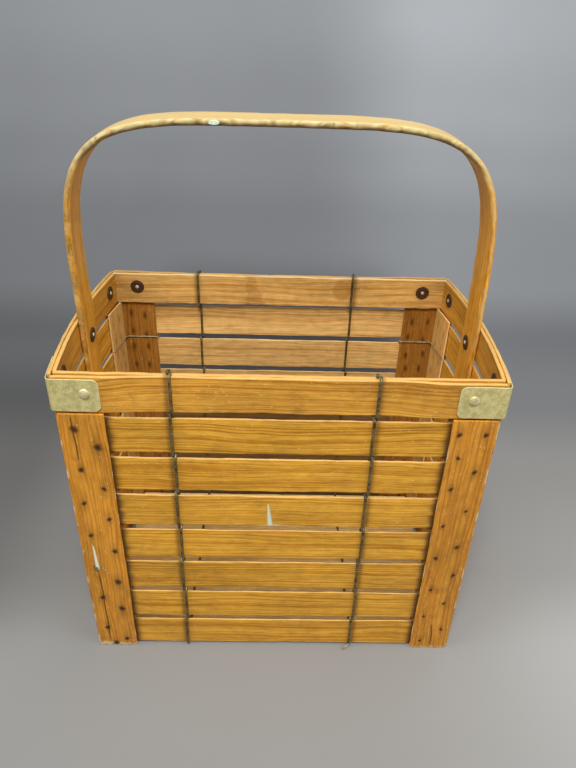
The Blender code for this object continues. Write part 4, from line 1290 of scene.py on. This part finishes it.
def wall_strand(outside_at_foot):
    """One strand down a wall, as (shift, out, height): outside one slat, inside the next."""
    outside = SLAT_OUTER_Y + WIRE_SEAT
    inside = SLAT_INNER_Y - WIRE_SEAT
    middle = (outside + inside) / 2
    space = SLAT_PITCH - SLAT_HEIGHT
    at_slat = outside if outside_at_foot else inside
    at_rim = rim_strand_out(at_slat == inside)
    slats_top = SLAT_FOOT + 6 * SLAT_PITCH + SLAT_HEIGHT
    route = [(WIRE_LAY, at_rim, RIM_TOP + WIRE_SEAT),
             (WIRE_LAY, at_rim, RIM_BOTTOM - WIRE_SEAT),
             (WIRE_CROSSING, (at_rim + at_slat) / 2, (RIM_BOTTOM + slats_top) / 2)]
    for level in range(7, 0, -1):
        low = SLAT_FOOT + (level - 1) * SLAT_PITCH
        over = WIRE_SEAT if level == 7 else WIRE_LEAD
        route.append((WIRE_LAY, at_slat, low + SLAT_HEIGHT + over))
        if level > 1:
            route.append((WIRE_LAY, at_slat, low - WIRE_LEAD))
            route.append((WIRE_CROSSING, middle, low - space / 2))
            at_slat = inside + outside - at_slat
    if outside_at_foot:
        route += [(WIRE_LAY, outside, SLAT_FOOT - WIRE_LEAD),
                  (WIRE_CROSSING, middle, SLAT_FOOT - WIRE_SEAT),
                  (WIRE_CROSSING, inside, SLAT_FOOT)]
    else:
        route.append((WIRE_LAY, inside, FLOOR_TOP + TURN_UP))
    return route


def floor_strand(below_first):
    """One strand under and over the bottom slats, from the front wall to the back wall."""
    below = floor_low - WIRE_SEAT
    above = FLOOR_TOP + WIRE_SEAT
    at_slat = below if below_first else above
    route = []
    for number in range(BOTTOM_SLATS):
        start = number * (slat_width + BOTTOM_GAP) - reach
        end = start + slat_width
        route += [(WIRE_LAY, start - WIRE_LEAD, at_slat), (WIRE_LAY, end + WIRE_LEAD, at_slat)]
        if number < BOTTOM_SLATS - 1:
            route.append((WIRE_CROSSING, end + BOTTOM_GAP / 2, (below + above) / 2))
            at_slat = below + above - at_slat
    return route


for end_side, wire_x in (("left", LEFT_WIRE), ("right", RIGHT_WIRE)):
    over_rim = (rim_strand_out(True) + rim_strand_out(False)) / 2
    bend = RIM_TOP + BEND_RISE
    for hand, outer in ((-1, True), (1, False)):
        wall = wall_strand(outer)
        tail = [(WIRE_CROSSING, over_rim, bend + WIRE_TAIL * (0.7 if outer else 0.9)),
                (WIRE_CROSSING, over_rim, bend)]
        strand = [(shift, -out, height) for shift, out, height in tail + wall]
        strand += floor_strand(outer) + list(reversed(wall))
        strand.append((WIRE_LAY, (wall[0][1] + over_rim) / 2, bend + BEND_ROUND))
        strand = [(wire_x + hand * shift, y, height) for shift, y, height in strand]
        if outer:
            route = strand + [(wire_x, over_rim, bend + 2 * BEND_ROUND)]
        else:
            route = route + strand[::-1]
    settle(tube(f"wire_{end_side}", route, WIRE_RADIUS, wire_iron, (1, 0, 0)), "wire_steel",
           f"binding_wire_{end_side}")


# Loose end: a thin bit of wire at the right wire's foot, which curls out below the front
# wall's lowest slat. Points are sideways, out from the slat and height.
CURL_RADIUS = 0.0009
CURL_POINTS = np.array([(0, 0.0010, 0.0075), (-0.0012, 0.0026, 0.0040), (-0.0040, 0.0052, 0.0026),
                        (-0.0075, 0.0062, 0.0022), (-0.0086, 0.0078, 0.0016)])
curl = CURL_POINTS * (1, -1, 1) + (RIGHT_WIRE, -SLAT_OUTER_Y, 0)
settle(tube("wire_curl", curl, CURL_RADIUS, tie_steel, (1, 0, 0)), "wire_steel")


# Corner ties: a thin bright wire round the inner boards of each back corner, in the gap below
# the top slat. Both its ends pass out between the slats.
TIE_RADIUS = 0.0008
TIE_SEAT = 0.0010
TIE_TURN = 0.0007
TIE_REACH = 0.0032
TIE_POINTS = 14
TIE_HEIGHT = SLAT_FOOT + 6 * SLAT_PITCH - (SLAT_PITCH - SLAT_HEIGHT) / 2
BOARD_INNER_X = END_SLAT_INNER - FIT - BOARD_THICK
for end_side in ("left", "right"):
    free_x = END_SLAT_INNER - FIT - BOARD_WIDTH - TIE_SEAT
    free_y = BOARD_INNER - FIT - BOARD_WIDTH - TIE_SEAT
    face_y = BOARD_INNER - TIE_SEAT
    face_x = BOARD_INNER_X - TIE_SEAT
    along = np.linspace(face_y - 0.002, free_y + 0.001, TIE_POINTS)
    board = np.stack([np.full(TIE_POINTS, face_x), along, np.full(TIE_POINTS, TIE_HEIGHT)], 1)
    board = end_bulge(board)
    near = end_bulge(np.array([[face_x, free_y, TIE_HEIGHT]]))[0, 0]
    route = [(free_x, SLAT_OUTER_Y, TIE_HEIGHT), (free_x, face_y + 0.001, TIE_HEIGHT),
             (free_x + TIE_TURN, face_y, TIE_HEIGHT), (face_x - 0.001, face_y, TIE_HEIGHT)]
    route += board.tolist()
    route += [(near + TIE_TURN, free_y, TIE_HEIGHT), (near + TIE_REACH, free_y, TIE_HEIGHT)]
    route = np.array(route) * (SIGN[end_side], 1, 1)
    settle(tube(f"tie_{end_side}", route, TIE_RADIUS, tie_steel, (0, 0, 1)), "wire_steel",
           f"corner_tie_{end_side}")


# Camera: at the photograph's height and tilt, looking down at the front of the basket, with
# soft lights in front, overhead and at both sides, and a pale surround.
FOCAL_PX = 634.96
CAMERA_AT = (-0.00645, -0.59270, 0.63514)
CAMERA_PITCH = 31.247
CAMERA_YAW = 1.548
CAMERA_ROLL = -1.901
IMAGE_HEIGHT = 768
SENSOR = 36.0
LIGHT_AIM = (0, 0, 0.2)
WARM = (1.0, 0.985, 0.95)
SIDE_WARM = (1.0, 0.985, 0.96)


def camera_axes(pitch, yaw, roll):
    """Right, up and back directions of a camera turned by yaw, tilted down and rolled."""
    ahead = Vector((math.sin(yaw) * math.cos(pitch), math.cos(yaw) * math.cos(pitch),
                    -math.sin(pitch)))
    right = Vector((math.cos(yaw), -math.sin(yaw), 0))
    down = ahead.cross(right)
    rolled = right * math.cos(roll) + down * math.sin(roll)
    below = down * math.cos(roll) - right * math.sin(roll)
    return rolled, -below, -ahead


camera_data = bpy.data.cameras.new("camera")
camera_data.sensor_width = SENSOR
camera_data.lens = FOCAL_PX / IMAGE_HEIGHT * SENSOR
camera_data.clip_start = 0.01
camera = bpy.data.objects.new("camera", camera_data)
axes = camera_axes(*(math.radians(angle) for angle in (CAMERA_PITCH, CAMERA_YAW, CAMERA_ROLL)))
camera.matrix_world = Matrix.Translation(CAMERA_AT) @ Matrix(axes).transposed().to_4x4()
bpy.context.scene.collection.objects.link(camera)
bpy.context.scene.camera = camera


def soft_light(name, at, size, power, tint):
    """A square area light aimed at the middle of the basket."""
    light = bpy.data.lights.new(name, "AREA")
    light.shape = "SQUARE"
    light.size = size
    light.energy = power
    light.color = tint
    made = bpy.data.objects.new(name, light)
    made.location = at
    made.rotation_euler = (Vector(LIGHT_AIM) - Vector(at)).to_track_quat("-Z", "Y").to_euler()
    bpy.context.scene.collection.objects.link(made)


soft_light("front_softbox", (-0.05, -0.95, 1.75), 0.45, 28, WARM)
soft_light("top_softbox", (0.05, 0.15, 2.10), 0.8, 10, WARM)
soft_light("left_softbox", (-1.7, -0.7, 1.2), 1.2, 15, SIDE_WARM)
soft_light("right_softbox", (1.7, -0.8, 1.2), 1.2, 16, SIDE_WARM)
world = bpy.data.worlds.new("pale_surround")
world.use_nodes = True
surround = world.node_tree.nodes["Background"].inputs
surround["Color"].default_value = (0.80, 0.82, 0.85, 1)
surround["Strength"].default_value = 0.16
bpy.context.scene.world = world
bpy.context.scene.view_settings.view_transform = "Standard"
